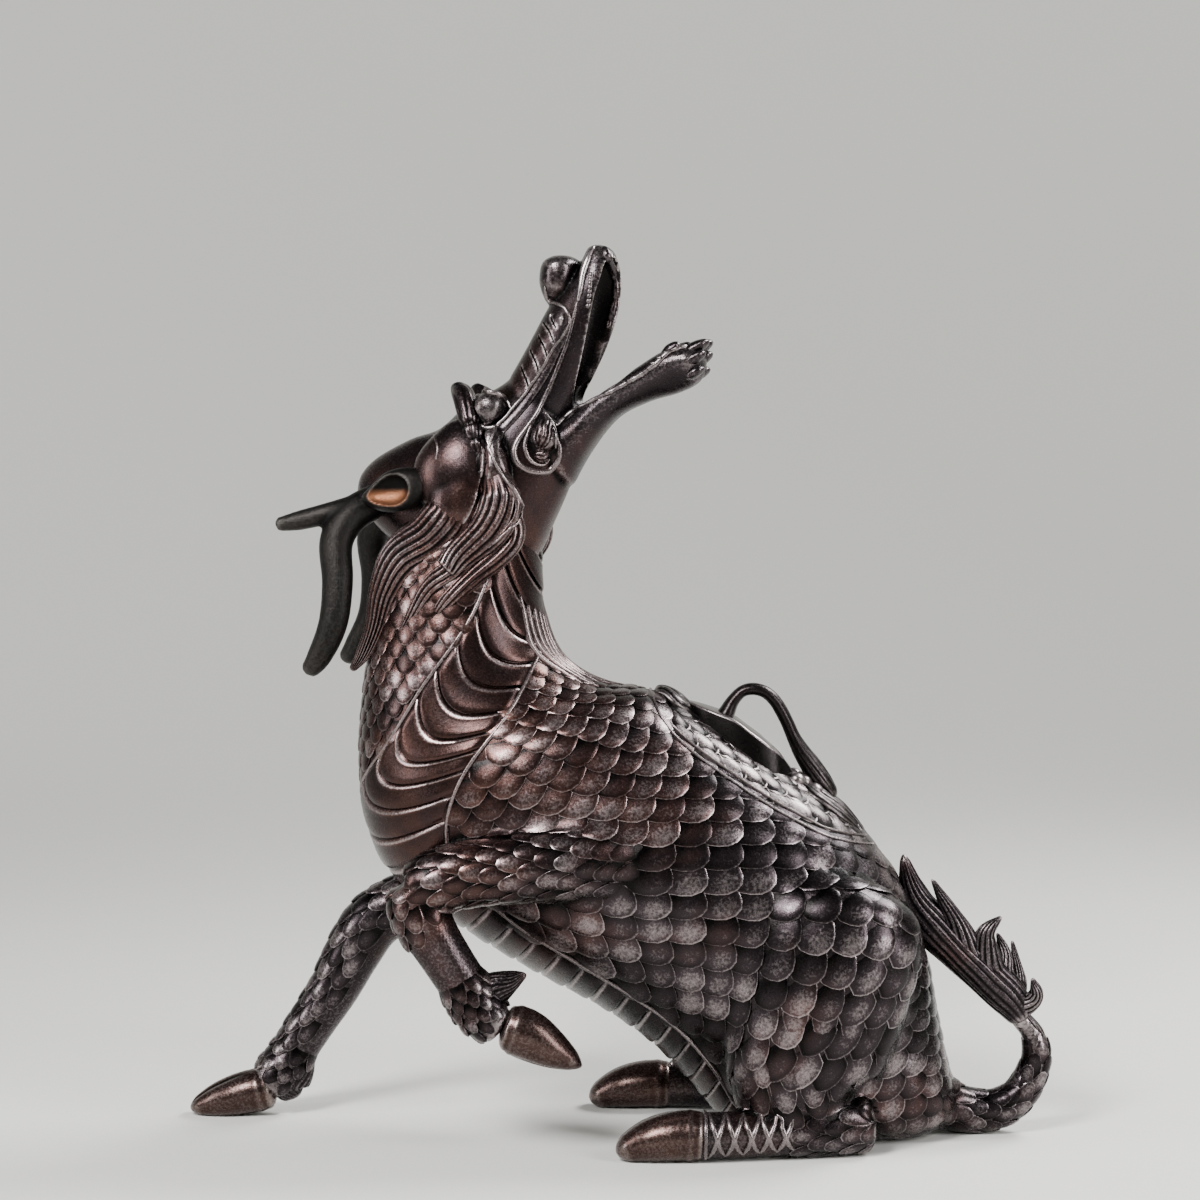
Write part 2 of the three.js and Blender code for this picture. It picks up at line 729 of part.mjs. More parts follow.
// The origin is on the ground under the middle of the whole figure.
const bounds = new THREE.Box3().setFromObject(qilin);
const middle = bounds.getCenter(new THREE.Vector3());
qilin.children.forEach((mesh) => mesh.geometry.translate(-middle.x, -middle.y, -bounds.min.z));

export default qilin;
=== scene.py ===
# %% [markdown]
# # A bronze qilin censer
# The object is a cast bronze beast that sits on its haunches, covered in raised scales, with a lid in
# its back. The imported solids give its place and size. Each step below makes one part of the surface
# that a bronze founder would have carved in the wax before casting.

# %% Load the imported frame
import math
import bmesh
import bpy
import numpy as np
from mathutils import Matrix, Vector
from mathutils.bvhtree import BVHTree


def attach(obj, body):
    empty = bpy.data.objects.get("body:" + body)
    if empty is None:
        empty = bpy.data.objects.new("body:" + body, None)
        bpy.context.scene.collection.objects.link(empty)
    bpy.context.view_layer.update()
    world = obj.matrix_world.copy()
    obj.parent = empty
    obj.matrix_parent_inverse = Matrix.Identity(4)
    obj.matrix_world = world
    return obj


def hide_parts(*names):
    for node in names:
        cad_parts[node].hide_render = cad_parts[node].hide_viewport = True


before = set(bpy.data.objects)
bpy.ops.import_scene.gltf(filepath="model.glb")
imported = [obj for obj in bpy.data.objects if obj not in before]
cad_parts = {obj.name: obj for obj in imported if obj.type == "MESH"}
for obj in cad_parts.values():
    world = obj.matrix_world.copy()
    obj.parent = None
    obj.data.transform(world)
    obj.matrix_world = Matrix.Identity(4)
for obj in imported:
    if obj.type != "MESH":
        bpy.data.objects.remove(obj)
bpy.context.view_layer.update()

# %% [markdown]
# ## Units and smooth outlines
# The figure is drawn in millimetres from tables of stations, as a founder works from sections of a
# model. A smooth curve through the stations gives the size between them. The drawing's own origin
# is a little off the middle of the figure, so one shift puts every point where the solids are.

# %% Read a table of stations smoothly
MM = 0.001
SHIFT = np.array([2.194, 1.891, 0.0])


def through(table, t):
    """The smooth curve through a table's rows, at a share or shares t of its length."""
    rows = np.asarray(table, float)
    t = np.clip(np.asarray(t, float), 0, 1) * (len(rows) - 1)
    i = np.minimum(t.astype(int), len(rows) - 2)
    f = (t - i)[..., None]
    wide = np.vstack([2 * rows[0] - rows[1], rows, 2 * rows[-1] - rows[-2]])
    a, b, c, d = wide[i], wide[i + 1], wide[i + 2], wide[i + 3]
    return b + f / 2 * (c - a + f * (2 * a - 5 * b + 4 * c - d + f * (3 * (b - c) + d - a)))


def unit(v):
    return v / np.maximum(np.linalg.norm(v, axis=-1, keepdims=True), 1e-9)


def placed(q):
    """Where a point of the drawing is in the scene, in metres."""
    return Vector((np.asarray(q) + SHIFT) * MM)


def on_drawing(spot):
    """Where a point of the scene is on the drawing, in millimetres."""
    return np.array(spot) / MM - SHIFT

# %% [markdown]
# ## Sections of a body
# A limb is a path with an oval section: its stations are x, y, z, half-depth and half-width. A trunk
# or a jaw is easier to draw as two outlines seen from the side, with a half-width between them. Both
# give the same three things at any place along the form: the centre, the depth and the width.

# %% The two kinds of form
def limb(table):
    def section(t):
        t = np.asarray(t, float)
        row = through(table, t)
        along = unit(through(table, t + 0.01)[..., :3] - through(table, t - 0.01)[..., :3])
        across = unit(np.array([0.0, 1.0, 0.0]) - along * along[..., 1:2])
        outward = np.cross(across, along)
        return row[..., :3], outward * np.maximum(row[..., 3:4], 0.3), across * np.maximum(row[..., 4:5], 0.3)

    return section


def between(table, inset=0.0):
    def section(t):
        px, pz, qx, qz, half = np.moveaxis(through(table, t), -1, 0)
        zero = np.zeros_like(px)
        depth = np.stack([(px - qx) / 2, zero, (pz - qz) / 2], -1)
        deep = np.linalg.norm(depth, axis=-1, keepdims=True)
        depth = depth * np.maximum(deep - inset, 0.5) / deep
        width = np.stack([zero, np.maximum(half - inset, 0.5), zero], -1)
        return np.stack([(px + qx) / 2, zero, (pz + qz) / 2], -1), depth, width

    return section


def on_form(section, t, turn, rise=0.0, cap=(0.0, 0.0)):
    """A point of a form's skin: t along it and turn round it. Its ends close within the shares in cap."""
    t, turn = np.broadcast_arrays(np.asarray(t, float), np.asarray(turn, float))
    centre, depth, width = section(t)
    spoke = depth * np.cos(turn)[..., None] + width * np.sin(turn)[..., None]
    full = np.ones_like(t)
    for end, share in ((t, cap[0]), (1 - t, cap[1])):
        if share:
            full = full * np.sqrt(np.clip(1 - (1 - np.clip(end / share, 0, 1)) ** 2, 0, 1))
    long = np.maximum(np.linalg.norm(spoke, axis=-1, keepdims=True), 1e-6)
    rise = np.broadcast_to(np.asarray(rise, float), t.shape)[..., None]
    return centre + spoke * full[..., None] * (1 + rise / long)

# %% [markdown]
# ## From a form to a mesh
# A UV sphere already has rings and spokes and is closed at both poles, so it is the simplest start
# for a closed form: its rings are moved along the form and its spokes out to the section.

# %% Sweep a sphere along a form
def sweep(bm, section, rows, sides, cap=(0.08, 0.08), rise=None, place=None):
    verts = bmesh.ops.create_uvsphere(bm, u_segments=sides, v_segments=rows, radius=1.0)["verts"]
    co = np.array([v.co for v in verts])
    ring = np.rint(np.arccos(np.clip(co[:, 2], -1, 1)) / math.pi * rows).astype(int)
    turn = np.arctan2(co[:, 1], co[:, 0])
    ends = max(2, rows // 8)
    steps = np.linspace(cap[0], 1 - cap[1], rows + 1 - 2 * ends)
    bow = 1 - np.cos(np.arange(ends) / ends * math.pi / 2)
    t = np.concatenate([cap[0] * bow, steps, (1 - cap[1] * bow)[::-1]])[ring]
    at = on_form(section, t, turn, rise(t, turn) if rise else 0.0, cap)
    if place:
        at = place(at)
    for v, p in zip(verts, at):
        v.co = placed(p)
    faces = list({f for v in verts for f in v.link_faces})
    bmesh.ops.recalc_face_normals(bm, faces=faces)
    middle = sum((v.co for v in verts), Vector()) / len(verts)
    if sum((f.calc_center_median() - middle).dot(f.normal) * f.calc_area() for f in faces) < 0:
        bmesh.ops.reverse_faces(bm, faces=faces)


def forms(bm, tables, rows, sides, **more):
    """Sweeps a limb along each of some tables."""
    for table in tables:
        sweep(bm, limb(table), rows, sides, **more)


def mirrored(table):
    return [[r[0], -r[1], *r[2:]] for r in table]


def points_of(geom):
    """The points among what a bmesh operator has made."""
    return [g for g in geom if isinstance(g, bmesh.types.BMVert)]


def finished(name, bm, smooth=True, sharp=None):
    """Makes an object of the mesh, with nothing under the ground and its faces in the same order each run."""
    for v in bm.verts:
        v.co.z = max(v.co.z, 0.0)
    bm.faces.index_update()
    corners = [sorted(tuple(v.co) for v in f.verts) for f in bm.faces]
    turn_of = {face: turn for turn, face in enumerate(sorted(range(len(corners)), key=corners.__getitem__))}
    bm.faces.sort(key=lambda f: turn_of[f.index])
    mesh = bpy.data.meshes.new(name)
    bm.to_mesh(mesh)
    bm.free()
    if smooth:
        mesh.shade_smooth()
        if sharp:
            mesh.set_sharp_from_angle(angle=math.radians(sharp))
    made = bpy.data.objects.new(name, mesh)
    bpy.context.scene.collection.objects.link(made)
    print(name, len(mesh.polygons), "faces")
    return made


def with_modifiers(source, *steps):
    """Applies modifiers, each given as its kind and its settings."""
    for kind, settings in steps:
        m = source.modifiers.new(kind.title(), kind)
        for key, value in settings.items():
            setattr(m, key, value)
    ready = source.evaluated_get(bpy.context.evaluated_depsgraph_get())
    mesh = bpy.data.meshes.new_from_object(ready)
    source.modifiers.clear()
    source.data = mesh
    return source

# %% [markdown]
# ## The trunk
# The trunk of the beast runs from the throat down the neck and back to the tail. On a cast figure
# the haunches, arms and shanks flow into it with no seam. Overlapping forms could be joined with
# booleans, but that leaves hard creases. A voxel remesh joins them into one skin instead, and a few
# rounds of smoothing soften the hollows between them as a modeller's thumb would.

# %% Stations of the trunk, haunches and limbs
TORSO = [
    [-38, 283, -92, 288, 26], [-36, 260, -104, 262, 29], [-35, 237, -110, 234, 32],
    [-27, 216.5, -115, 202, 37], [-9, 205, -117, 174, 43], [15, 201, -114.5, 147, 49],
    [34, 191, -103, 120.5, 52], [56, 178.5, -70, 95, 54], [77, 164, -37, 75, 55], [96, 151.5, -9, 60, 55],
    [112, 136, 14, 44, 54], [127, 113, 32, 26, 51], [137, 86, 46, 10, 46], [143, 56, 68, 0, 40],
    [149, 28, 105, -1, 31], [154, 12, 138, -1, 16],
]
THIGH = [
    [98, 36, 124, 22, 14], [94, 37, 107, 39, 22], [88, 37, 84, 42, 25],
    [84, 38, 58, 38, 24], [80, 40, 34, 32, 20], [86, 40, 16, 22, 14],
]
HIND_SHANK = [
    [112, 39, 13.5, 12, 11], [92, 43, 12.5, 12, 11], [62, 48, 11, 10.5, 10], [32, 52, 10.5, 10.5, 10],
    [27, 52, 10, 10, 9.5],
]
RIGHT_FORELEG = [
    [-64, 18, 124, 20, 14], [-88, 25, 106, 14, 13], [-111, 29, 94, 13.5, 12.5], [-122, 32, 79, 13, 12],
    [-132, 34, 60, 11.6, 11], [-141, 35, 46, 10.8, 10.2], [-150, 36, 32, 10.4, 10],
    [-157.5, 36, 21, 10.8, 10.5], [-166, 36, 13, 9.6, 9.6],
]
LEFT_UPPER_ARM = [
    [20, -30, 140, 18, 18], [-2, -42, 133, 20, 16], [-28, -49, 129.5, 15.5, 15], [-55, -52, 127, 14, 13.5],
    [-76, -53, 124, 13.5, 13], [-92, -53, 118, 11, 12],
]
LEFT_FOREARM = [
    [-90, -53, 122, 12, 12], [-87, -52.5, 108, 13, 12], [-79, -52, 94, 11.5, 11], [-69, -51, 78, 11, 10.5],
    [-61, -50, 65, 11, 10.5], [-51, -50, 58, 8.5, 9],
]
TAIL = [
    [138, 0, 17, 14, 14], [152, 0, 11.5, 11, 11], [167, 0, 10, 9.4, 9], [179, 0, 15, 8.2, 8],
    [187, 0, 27, 7.2, 7], [189, 0, 38, 6.4, 6.4], [186, 0, 47, 5, 5], [180, 0, 54, 5, 5.5],
]
HIND_FEET = ((-1, 0.0), (1, 12.0))  # each side, and how far ahead its hind foot stands


def on_side(table, side, ahead=0.0):
    return [[r[0] - ahead, side * abs(r[1]), *r[2:]] for r in table]


def one_skin(source, voxel, rounds):
    """Joins overlapping forms by a remesh, and softens the hollows between them."""
    return with_modifiers(source, ("REMESH", {"mode": "VOXEL", "voxel_size": voxel}),
                          ("SMOOTH", {"factor": 0.5, "iterations": rounds}))

# %% Join the forms into one skin
SKIN_VOXEL, SKIN_ROUNDS = 0.0017, 6  # metres, and rounds of smoothing
TRUNK_CAP = (0.03, 0.03)  # how much of the trunk's length goes into its round ends
bm = bmesh.new()
sweep(bm, between(TORSO), 90, 64, cap=TRUNK_CAP)
forms(bm, [on_side(THIGH, -1), on_side(THIGH, 1)], 40, 40, cap=(0.12, 0.1))
shanks = [on_side(HIND_SHANK, *foot) for foot in HIND_FEET]
forms(bm, shanks + [RIGHT_FORELEG, LEFT_UPPER_ARM, LEFT_FOREARM], 48, 24, cap=(0.06, 0.05))
sweep(bm, limb(TAIL), 60, 20, cap=(0.04, 0.04))
skin = finished("skin", bm)
one_skin(skin, SKIN_VOXEL, SKIN_ROUNDS)
print("skin as one:", len(skin.data.polygons), "faces")

# %% [markdown]
# ## Resting on a surface
# Scales, ribs and folds were modelled on top of the wax skin. So a point of any of them has to find
# the nearest place of a surface and the way out of it. The skin as it is now, before it is cut, serves
# the body and the lid alike.

# %% Rest points on a surface
class Ground:
    def __init__(self, source):
        self.tree = BVHTree.FromObject(source, bpy.context.evaluated_depsgraph_get())
        points = np.array([v.normal for v in source.data.vertices])
        self.normals = unit(np.array([points[list(f.vertices)].mean(0) for f in source.data.polygons]))

    def rest(self, q):
        """The nearest place of the surface, the way out of it and how far off it is."""
        spot, normal, index, far = self.tree.find_nearest(placed(q))
        return on_drawing(spot), self.normals[index], far / MM

    def struck(self, q, way, *reach):
        """Where a ray from a point meets the surface, or None."""
        spot = self.tree.ray_cast(placed(q), Vector(way), *reach)[0]
        return None if spot is None else on_drawing(spot)


body_ground = Ground(skin)
print("the ground has", len(body_ground.normals), "faces")

# %% [markdown]
# ## The hollow and the lid's seam
# The trunk is a vessel with a cast wall 4.5 mm thick. The lid is cut out of the back along a line
# that can be drawn from the side, so the cutter is that line pushed through from flank to flank. The
# manifold boolean solver is quick on closed meshes such as these.

# %% Cut the vessel open
WALL, LID_GAP = 4.5, 1.8
SEAM_FRONT, SEAM_BACK = 13, 130
SEAM = [
    [13, 204], [16, 196.5], [20, 190], [26, 183], [35, 175.5], [47, 167], [58, 159.5], [70, 152], [81, 146],
    [92, 140.5], [111, 135], [130, 130],
]
seam_line = through(SEAM, np.linspace(0, 1, 120))


def seam_height(x):
    """How high the lid's seam runs at a place along the back."""
    return np.interp(x, seam_line[:, 0], seam_line[:, 1])


def seam_block(lift):
    """All that is above the seam's line, moved up by a lift."""
    bm = bmesh.new()
    line = [(x, z + lift) for x, z in seam_line] + [(SEAM_BACK, 340), (SEAM_FRONT, 340)]
    face = bm.faces.new([bm.verts.new(placed([x, -140, z])) for x, z in line])
    grown = bmesh.ops.extrude_face_region(bm, geom=[face])["geom"]
    bmesh.ops.translate(bm, verts=points_of(grown), vec=(0, 0.28, 0))
    bmesh.ops.recalc_face_normals(bm, faces=bm.faces)
    return finished("seam_block", bm, smooth=False)


def cut(source, tool, operation):
    return with_modifiers(source, ("BOOLEAN", {"object": tool, "operation": operation, "solver": "MANIFOLD"}))


def cut_away(source, bm):
    """Cuts the form of a bmesh out of an object."""
    tool = finished("tool", bm)
    cut(source, tool, "DIFFERENCE")
    bpy.data.objects.remove(tool)


bm = bmesh.new()
sweep(bm, between(TORSO[4:14], WALL), 60, 48, cap=(0.05, 0.08))
hollow = finished("hollow", bm)

trunk = skin
trunk.name = "trunk"
crown = bpy.data.objects.new("lid_shell", skin.data.copy())
bpy.context.scene.collection.objects.link(crown)
below, above = seam_block(-LID_GAP / 2), seam_block(LID_GAP / 2)
cut(trunk, hollow, "DIFFERENCE")
cut(trunk, below, "DIFFERENCE")
cut(crown, above, "INTERSECT")
cut(crown, hollow, "DIFFERENCE")
for tool in (hollow, below, above):
    bpy.data.objects.remove(tool)
print("trunk", len(trunk.data.polygons), "faces, lid shell", len(crown.data.polygons))

# %% [markdown]
# ## One scale
# Each scale on the beast is a small tongue: its root is under the scales before it, it bulges in the
# middle, and its round tip stands clear of the skin and catches the light. A grid is bent into that
# tongue once. It has only a few dozen faces, because there will be many hundreds of scales.

# %% Bend a grid into a scale
def ease(x):
    x = min(1.0, max(0.0, x))
    return x * x * (3 - 2 * x)


BACK, FRONT = 1.35, 1.0  # how far a scale reaches to both sides of its place, in steps between rows


def bend(columns, rows, curve):
    """Bends a grid by a function of its place and folds its edge down. Points come back with their number for
    rubbing and painted light; the folded edge gets none, painted shade under the tip.
    """
    bm = bmesh.new()
    bmesh.ops.create_grid(bm, x_segments=columns, y_segments=rows, size=1.0)
    worn_and_painted_light = {}
    for v in bm.verts:
        u, s = v.co.x, (v.co.y + 1) / 2
        edge = abs(u) > 0.99 or s > 0.99
        x, y, z, worn_and_painted_light[v] = curve(math.copysign(1 - (1 - abs(u)) ** 1.8, u), 1 - (1 - s) ** 1.8, edge)
        v.co = (x, y, z)
    edges = [e for e in bm.edges if e.is_boundary and max(v.co.y for v in e.verts) > 0.02]
    rim = bmesh.ops.extrude_edge_only(bm, edges=edges)["geom"]
    for v in points_of(rim):
        v.co = (v.co.x * 0.95, v.co.y * 0.96, -0.6)
    bmesh.ops.recalc_face_normals(bm, faces=bm.faces)
    if max(bm.faces, key=lambda f: f.calc_center_median().z).normal.z < 0:
        bmesh.ops.reverse_faces(bm, faces=bm.faces)
    # The folded edge gets no wear, so it takes the hollow colour: painted shade under the tip.
    points = np.array([[*v.co, worn_and_painted_light.get(v, 0.0)] for v in bm.verts])
    mesh = bpy.data.meshes.new("scale")
    bm.to_mesh(mesh)
    bm.free()
    return mesh, points


def tongue(point=0.42):
    def curve(u, s, edge):
        y = s * (1 - point * abs(u) ** 2.4)
        step = (BACK + FRONT) * y - BACK
        dome = (1 - u * u) * math.cos(math.pi / 2 * min(1.0, abs(step - 0.35) / 1.15)) ** 2
        root = 1 - ease((step + BACK) / 0.6)
        z = 0.32 + 0.27 * step + 0.5 * dome - 0.3 * root - 0.08 * edge
        # The wear returned here is partly real and partly painted light: the round edge and the crest of the
        # bulge get painted highlight as well as rubbing, and the root under the scales before gets painted
        # shade.
        return u, y, z, 0.62 if edge else 0.3 + 0.25 * dome - 0.2 * root

    return bend(8, 5, curve)


SCALE, TILE, LEAF = tongue(), tongue(point=0.2), tongue(point=0.8)
print("one scale has", len(SCALE[0].polygons), "faces")

# %% [markdown]
# ## Laying scales on the skin
# A scale is placed by its middle, the step to the next scale beside it and the step to the next row.
# Each of its points is then put on the nearest place of the skin and lifted by its own height, so it
# follows every bulge. Scales that would lie on top of one already laid are left out.

# %% Lay one scale after another
class Coat:
    def __init__(self, seed):
        self.bm = bmesh.new()
        self.tone = self.bm.verts.layers.float.new("tone")
        self.wear_and_painted_light = self.bm.verts.layers.float.new("wear_and_painted_light")
        self.taken = {}
        self.random = np.random.default_rng(seed)
        self.count = 0

    def free(self, p, reach):
        """Whether no other scale is within reach of a place, which is then taken."""
        key = tuple((p // 10).astype(int))
        near = [q for dx in (-1, 0, 1) for dy in (-1, 0, 1) for dz in (-1, 0, 1)
                for q in self.taken.get((key[0] + dx, key[1] + dy, key[2] + dz), ())]
        if any(np.linalg.norm(p - q) < reach for q in near):
            return False
        self.taken.setdefault(key, []).append(p)
        return True

    def lay(self, p, beside, onward, height=1.5, spare=0.34, kind=SCALE, seat=None, low=None, limit=2.5):
        """Lays a scale at p. Seat may move its points, and low makes them lower."""
        template, shape = kind
        spot, up, far = body_ground.rest(p)
        if far > limit or not self.free(p, spare * np.linalg.norm(beside)):
            return
        shade = self.random.random()
        lift = height * (0.9 + 0.2 * self.random.random())
        lean = (self.random.random() - 0.5) * 0.06
        grown = len(self.bm.verts)
        self.bm.from_mesh(template)
        self.bm.verts.ensure_lookup_table()
        side = beside + onward * lean
        at = p + shape[:, :1] * side * 0.53 + (shape[:, 1:2] * (BACK + FRONT) - BACK) * onward
        for k, (q, (_, _, high, wear_and_painted_light)) in enumerate(zip(at, shape)):
            v = self.bm.verts[grown + k]
            q = seat(q) if seat else q
            spot, _, index, _ = body_ground.tree.find_nearest(placed(q))
            rise = high * lift * (low(q) if low else 1.0)
            v.co = spot + Vector(body_ground.normals[index]) * float(rise * MM)
            v[self.tone] = shade
            v[self.wear_and_painted_light] = min(1.0, max(0.0, float(wear_and_painted_light) + 0.15 * (shade - 0.5)))
        self.count += 1

    def finished(self, name):
        bmesh.ops.dissolve_degenerate(self.bm, dist=0.03 * MM, edges=self.bm.edges)
        return finished(name, self.bm, sharp=50)

# %% [markdown]
# ## Where the trunk's scales grow
# On the real figure the rows fan out: small scales hang straight down on the shoulder, and large
# ones lean back along the flank. A lattice that follows such a field can't be typed in, so it is
# found: two counts, of rows and of columns, are fitted to the wanted steps over a grid on the skin
# by least squares, and a scale goes wherever both counts are whole numbers.

# %% Fit rows and columns of scales to the trunk
# Angle of growth off the trunk's own line in degrees, scale width, and step between rows, by station.
GROWTH = [
    [0, 11, 6.2], [0, 11.5, 6.5], [2, 11.5, 6.5], [12, 11, 6.5], [24, 11, 6.6], [28, 12, 7.2],
    [25, 14.5, 8.2], [16, 17.5, 9.2], [9, 20, 10], [8, 19.5, 10], [8, 17, 9.2], [8, 14, 9], [6, 12, 9],
    [4, 11.5, 9], [2, 11, 8.5], [2, 11, 8],
]


def fitted_counts(points, growth):
    """Fits a count of rows and one of columns to a grid of points."""
    nt, na = points.shape[:2]
    along = unit(np.gradient(points, axis=0))
    side = np.gradient(points, axis=1)
    side[:, 0], side[:, -1] = side[:, 1], side[:, -2]
    side = unit(side - along * (side * along).sum(-1, keepdims=True))
    lean, wide, step = np.moveaxis(growth, -1, 0)
    lean = np.radians(lean)[..., None]
    grow = along * np.cos(lean) + side * np.sin(lean)
    across = side * np.cos(lean) - along * np.sin(lean)
    number = np.arange(nt * na).reshape(nt, na)
    fields = (grow / step[..., None], across / wide[..., None])
    matrix = np.zeros((nt * na, nt * na))
    right = np.zeros((nt * na, 2))
    for a, b in ((np.s_[:-1, :], np.s_[1:, :]), (np.s_[:, :-1], np.s_[:, 1:])):
        edge = points[b] - points[a]
        weight = 1 / np.maximum((edge ** 2).sum(-1), 0.5).ravel()
        i, j = number[a].ravel(), number[b].ravel()
        for place, value in (((i, i), weight), ((j, j), weight), ((i, j), -weight), ((j, i), -weight)):
            np.add.at(matrix, place, value)
        for k, field in enumerate(fields):
            wanted = ((field[a] + field[b]) / 2 * edge).sum(-1).ravel() * weight
            np.add.at(right[:, k], i, -wanted)
            np.add.at(right[:, k], j, wanted)
    matrix[0, 0] += 1.0
    return np.linalg.solve(matrix, right).reshape(nt, na, 2)

# %% [markdown]
# ## From counts to places
# Each cell of the grid is cut finer. At every fine place the nearest pair of whole counts is known,
# and so is the step that leads there. A scale grows where that step ends inside the same fine cell.
# Every other row is moved by half a scale, as on the figure.

# %% Find the places of the scales
FINE = 12


def lattice(points, t, turn, growth):
    """The places of a grid where both counts are whole, with the steps to the next scale and row."""
    counts = fitted_counts(points, growth)
    nt, na = points.shape[:2]
    u = np.arange((nt - 1) * FINE) / FINE
    v = np.arange((na - 1) * FINE) / FINE
    i, j = u.astype(int)[:, None], v.astype(int)[None, :]
    f, g = (u % 1)[:, None, None], (v % 1)[None, :, None]

    def mixed(grid):
        return ((grid[i, j] * (1 - f) + grid[i + 1, j] * f) * (1 - g)
                + (grid[i, j + 1] * (1 - f) + grid[i + 1, j + 1] * f) * g)

    def slopes(grid):
        down = (grid[i + 1, j] - grid[i, j]) * (1 - g) + (grid[i + 1, j + 1] - grid[i, j + 1]) * g
        round_ = (grid[i, j + 1] - grid[i, j]) * (1 - f) + (grid[i + 1, j + 1] - grid[i + 1, j]) * f
        return down, round_

    here, (du, dv), (pu, pv) = mixed(counts), slopes(counts), slopes(points)
    row = np.round(here[..., 0])
    odd = 0.5 * (row % 2)
    column = np.round(here[..., 1] - odd) + odd
    miss = np.stack([row, column], -1) - here
    det = du[..., 0] * dv[..., 1] - du[..., 1] * dv[..., 0]
    det = np.where(np.abs(det) < 1e-9, 1e-9, det)
    su = (miss[..., 0] * dv[..., 1] - miss[..., 1] * dv[..., 0]) / det
    sv = (du[..., 0] * miss[..., 1] - du[..., 1] * miss[..., 0]) / det
    hit = (su >= 0) & (su < 1 / FINE) & (sv >= 0) & (sv < 1 / FINE)
    onward = (pu * dv[..., 1:2] - pv * du[..., 1:2]) / det[..., None]
    beside = (pv * du[..., 0:1] - pu * dv[..., 0:1]) / det[..., None]
    place = mixed(points) + pu * su[..., None] + pv * sv[..., None]
    tt = np.interp(u, np.arange(nt), t)[:, None] + 0 * here[..., 0]
    aa = np.interp(v, np.arange(na), turn)[None, :] + 0 * here[..., 0]
    return place[hit], beside[hit], onward[hit], tt[hit], aa[hit]


def on_both_flanks(places):
    """The places of a lattice on the near side and then, mirrored, on the far one."""
    for side in (-1, 1):
        flip = np.array([1, -side, 1])
        for p, beside, onward, t, turn in zip(*places):
            yield p * flip, beside * flip, onward * flip, t, side * math.degrees(turn)


torso = between(TORSO)
GRID_LONG, GRID_ROUND = 64, 34
grid_t = np.linspace(0.0, 1.0, GRID_LONG)
grid_a = np.radians(np.linspace(0, 180, GRID_ROUND))
grid = on_form(torso, grid_t[:, None], -grid_a[None, :], cap=TRUNK_CAP)
wanted = through(GROWTH, grid_t)[:, None, :] * np.ones((1, GRID_ROUND, 1))
level = np.degrees(grid_a)[None, :]
wanted[..., 0] *= np.clip(level / 35, 0, 1) * np.clip((185 - level) / 70, 0.2, 1)
shrink = 1 - 0.22 * np.clip((level - 90) / 60, 0, 1)
wanted[..., 1] *= shrink
wanted[..., 2] *= shrink
trunk_lattice = lattice(grid, grid_t, grid_a, wanted)
print("the trunk's lattice has", len(trunk_lattice[0]), "places on each side")

# %% [markdown]
# ## The throat and belly plates' band
# Broad plates cover the throat, turn round the left of the neck and run down under the belly. The
# band is given by its middle and its reach round the trunk, and scales stop at its edge.

# %% Draw the band
# Degrees round the trunk of the band's middle, and its reach to both sides, by station.
PLATE_BAND = [
    [-15, 44], [-22, 44], [-38, 42], [-76, 34], [-108, 32], [-150, 42], [-172, 46], [-180, 44], [-180, 42],
    [-180, 40], [-180, 40], [-180, 38], [-180, 34], [-180, 30], [-180, 26], [-180, 22],
]


def in_band(t, degrees, grow):
    middle, reach = through(PLATE_BAND, t)
    off = degrees - middle
    off -= 360 * round(off / 360)
    return abs(off) < reach + grow

# %% [markdown]
# ## The trunk's coat of scales
# The founder cut the scales up to the rim of the vessel and made them lower there, so that the lid
# could pass. The haunch stands over the trunk, so a place of the lattice that it covers is moved out.

# %% Lay the trunk's scales
def under_seam(q):
    """Moves a point that would stand over the seam's line down under it."""
    for _ in range(3):
        over = q[2] - (seam_height(q[0]) - 0.9) if SEAM_FRONT < q[0] < SEAM_BACK else -1.0
        if over > 0:
            q = q - np.array([0.35, 0, 0.95]) * over
    return q


def by_seam(q):
    """How high a scale may stand, which is less close to the seam."""
    return min(1.0, max(0.4, abs(q[2] - seam_height(q[0])) / 6)) if SEAM_FRONT < q[0] < SEAM_BACK else 1.0


def outermost(p, beside, onward, reach=45.0):
    """Moves a place of the trunk's lattice out to the haunch, where that stands over the trunk."""
    out = unit(np.cross(beside, onward))
    out = out if out[1] * p[1] + out[2] * (p[2] - 90) > 0 else -out
    spot = body_ground.struck(p + out * reach, -out, reach * MM)
    return p if spot is None else spot


TILES_FROM = 0.74  # further back than this share of the trunk, the scales are blunt tiles
HAUNCH_FROM = (45, 16, 40)  # behind, beside and above this the haunch may cover the trunk

coat = Coat(7)
for p, beside, onward, t, degrees in on_both_flanks(trunk_lattice):
    if t < 0.02 or in_band(t, degrees, 1.0):
        continue
    if SEAM_FRONT - 1 < p[0] < SEAM_BACK + 1 and p[2] > seam_height(p[0]) + 3.5:
        continue
    if (np.array([p[0], abs(p[1]), p[2]]) > HAUNCH_FROM).all():
        p = outermost(p, beside, onward)
    coat.lay(p, beside, onward, height=1.0 + 0.04 * np.linalg.norm(beside), seat=under_seam, low=by_seam,
             limit=1.6, kind=TILE if t > TILES_FROM else SCALE)
print(coat.count, "scales on the trunk")

# %% [markdown]
# ## Rows of scales round a limb
# A leg is simpler than the trunk: rows go round it like tiles round a pipe, each row half a scale
# further round than the last. Near the ends the limb runs into another form, and there the scales
# are left to whichever form lies on the outside.

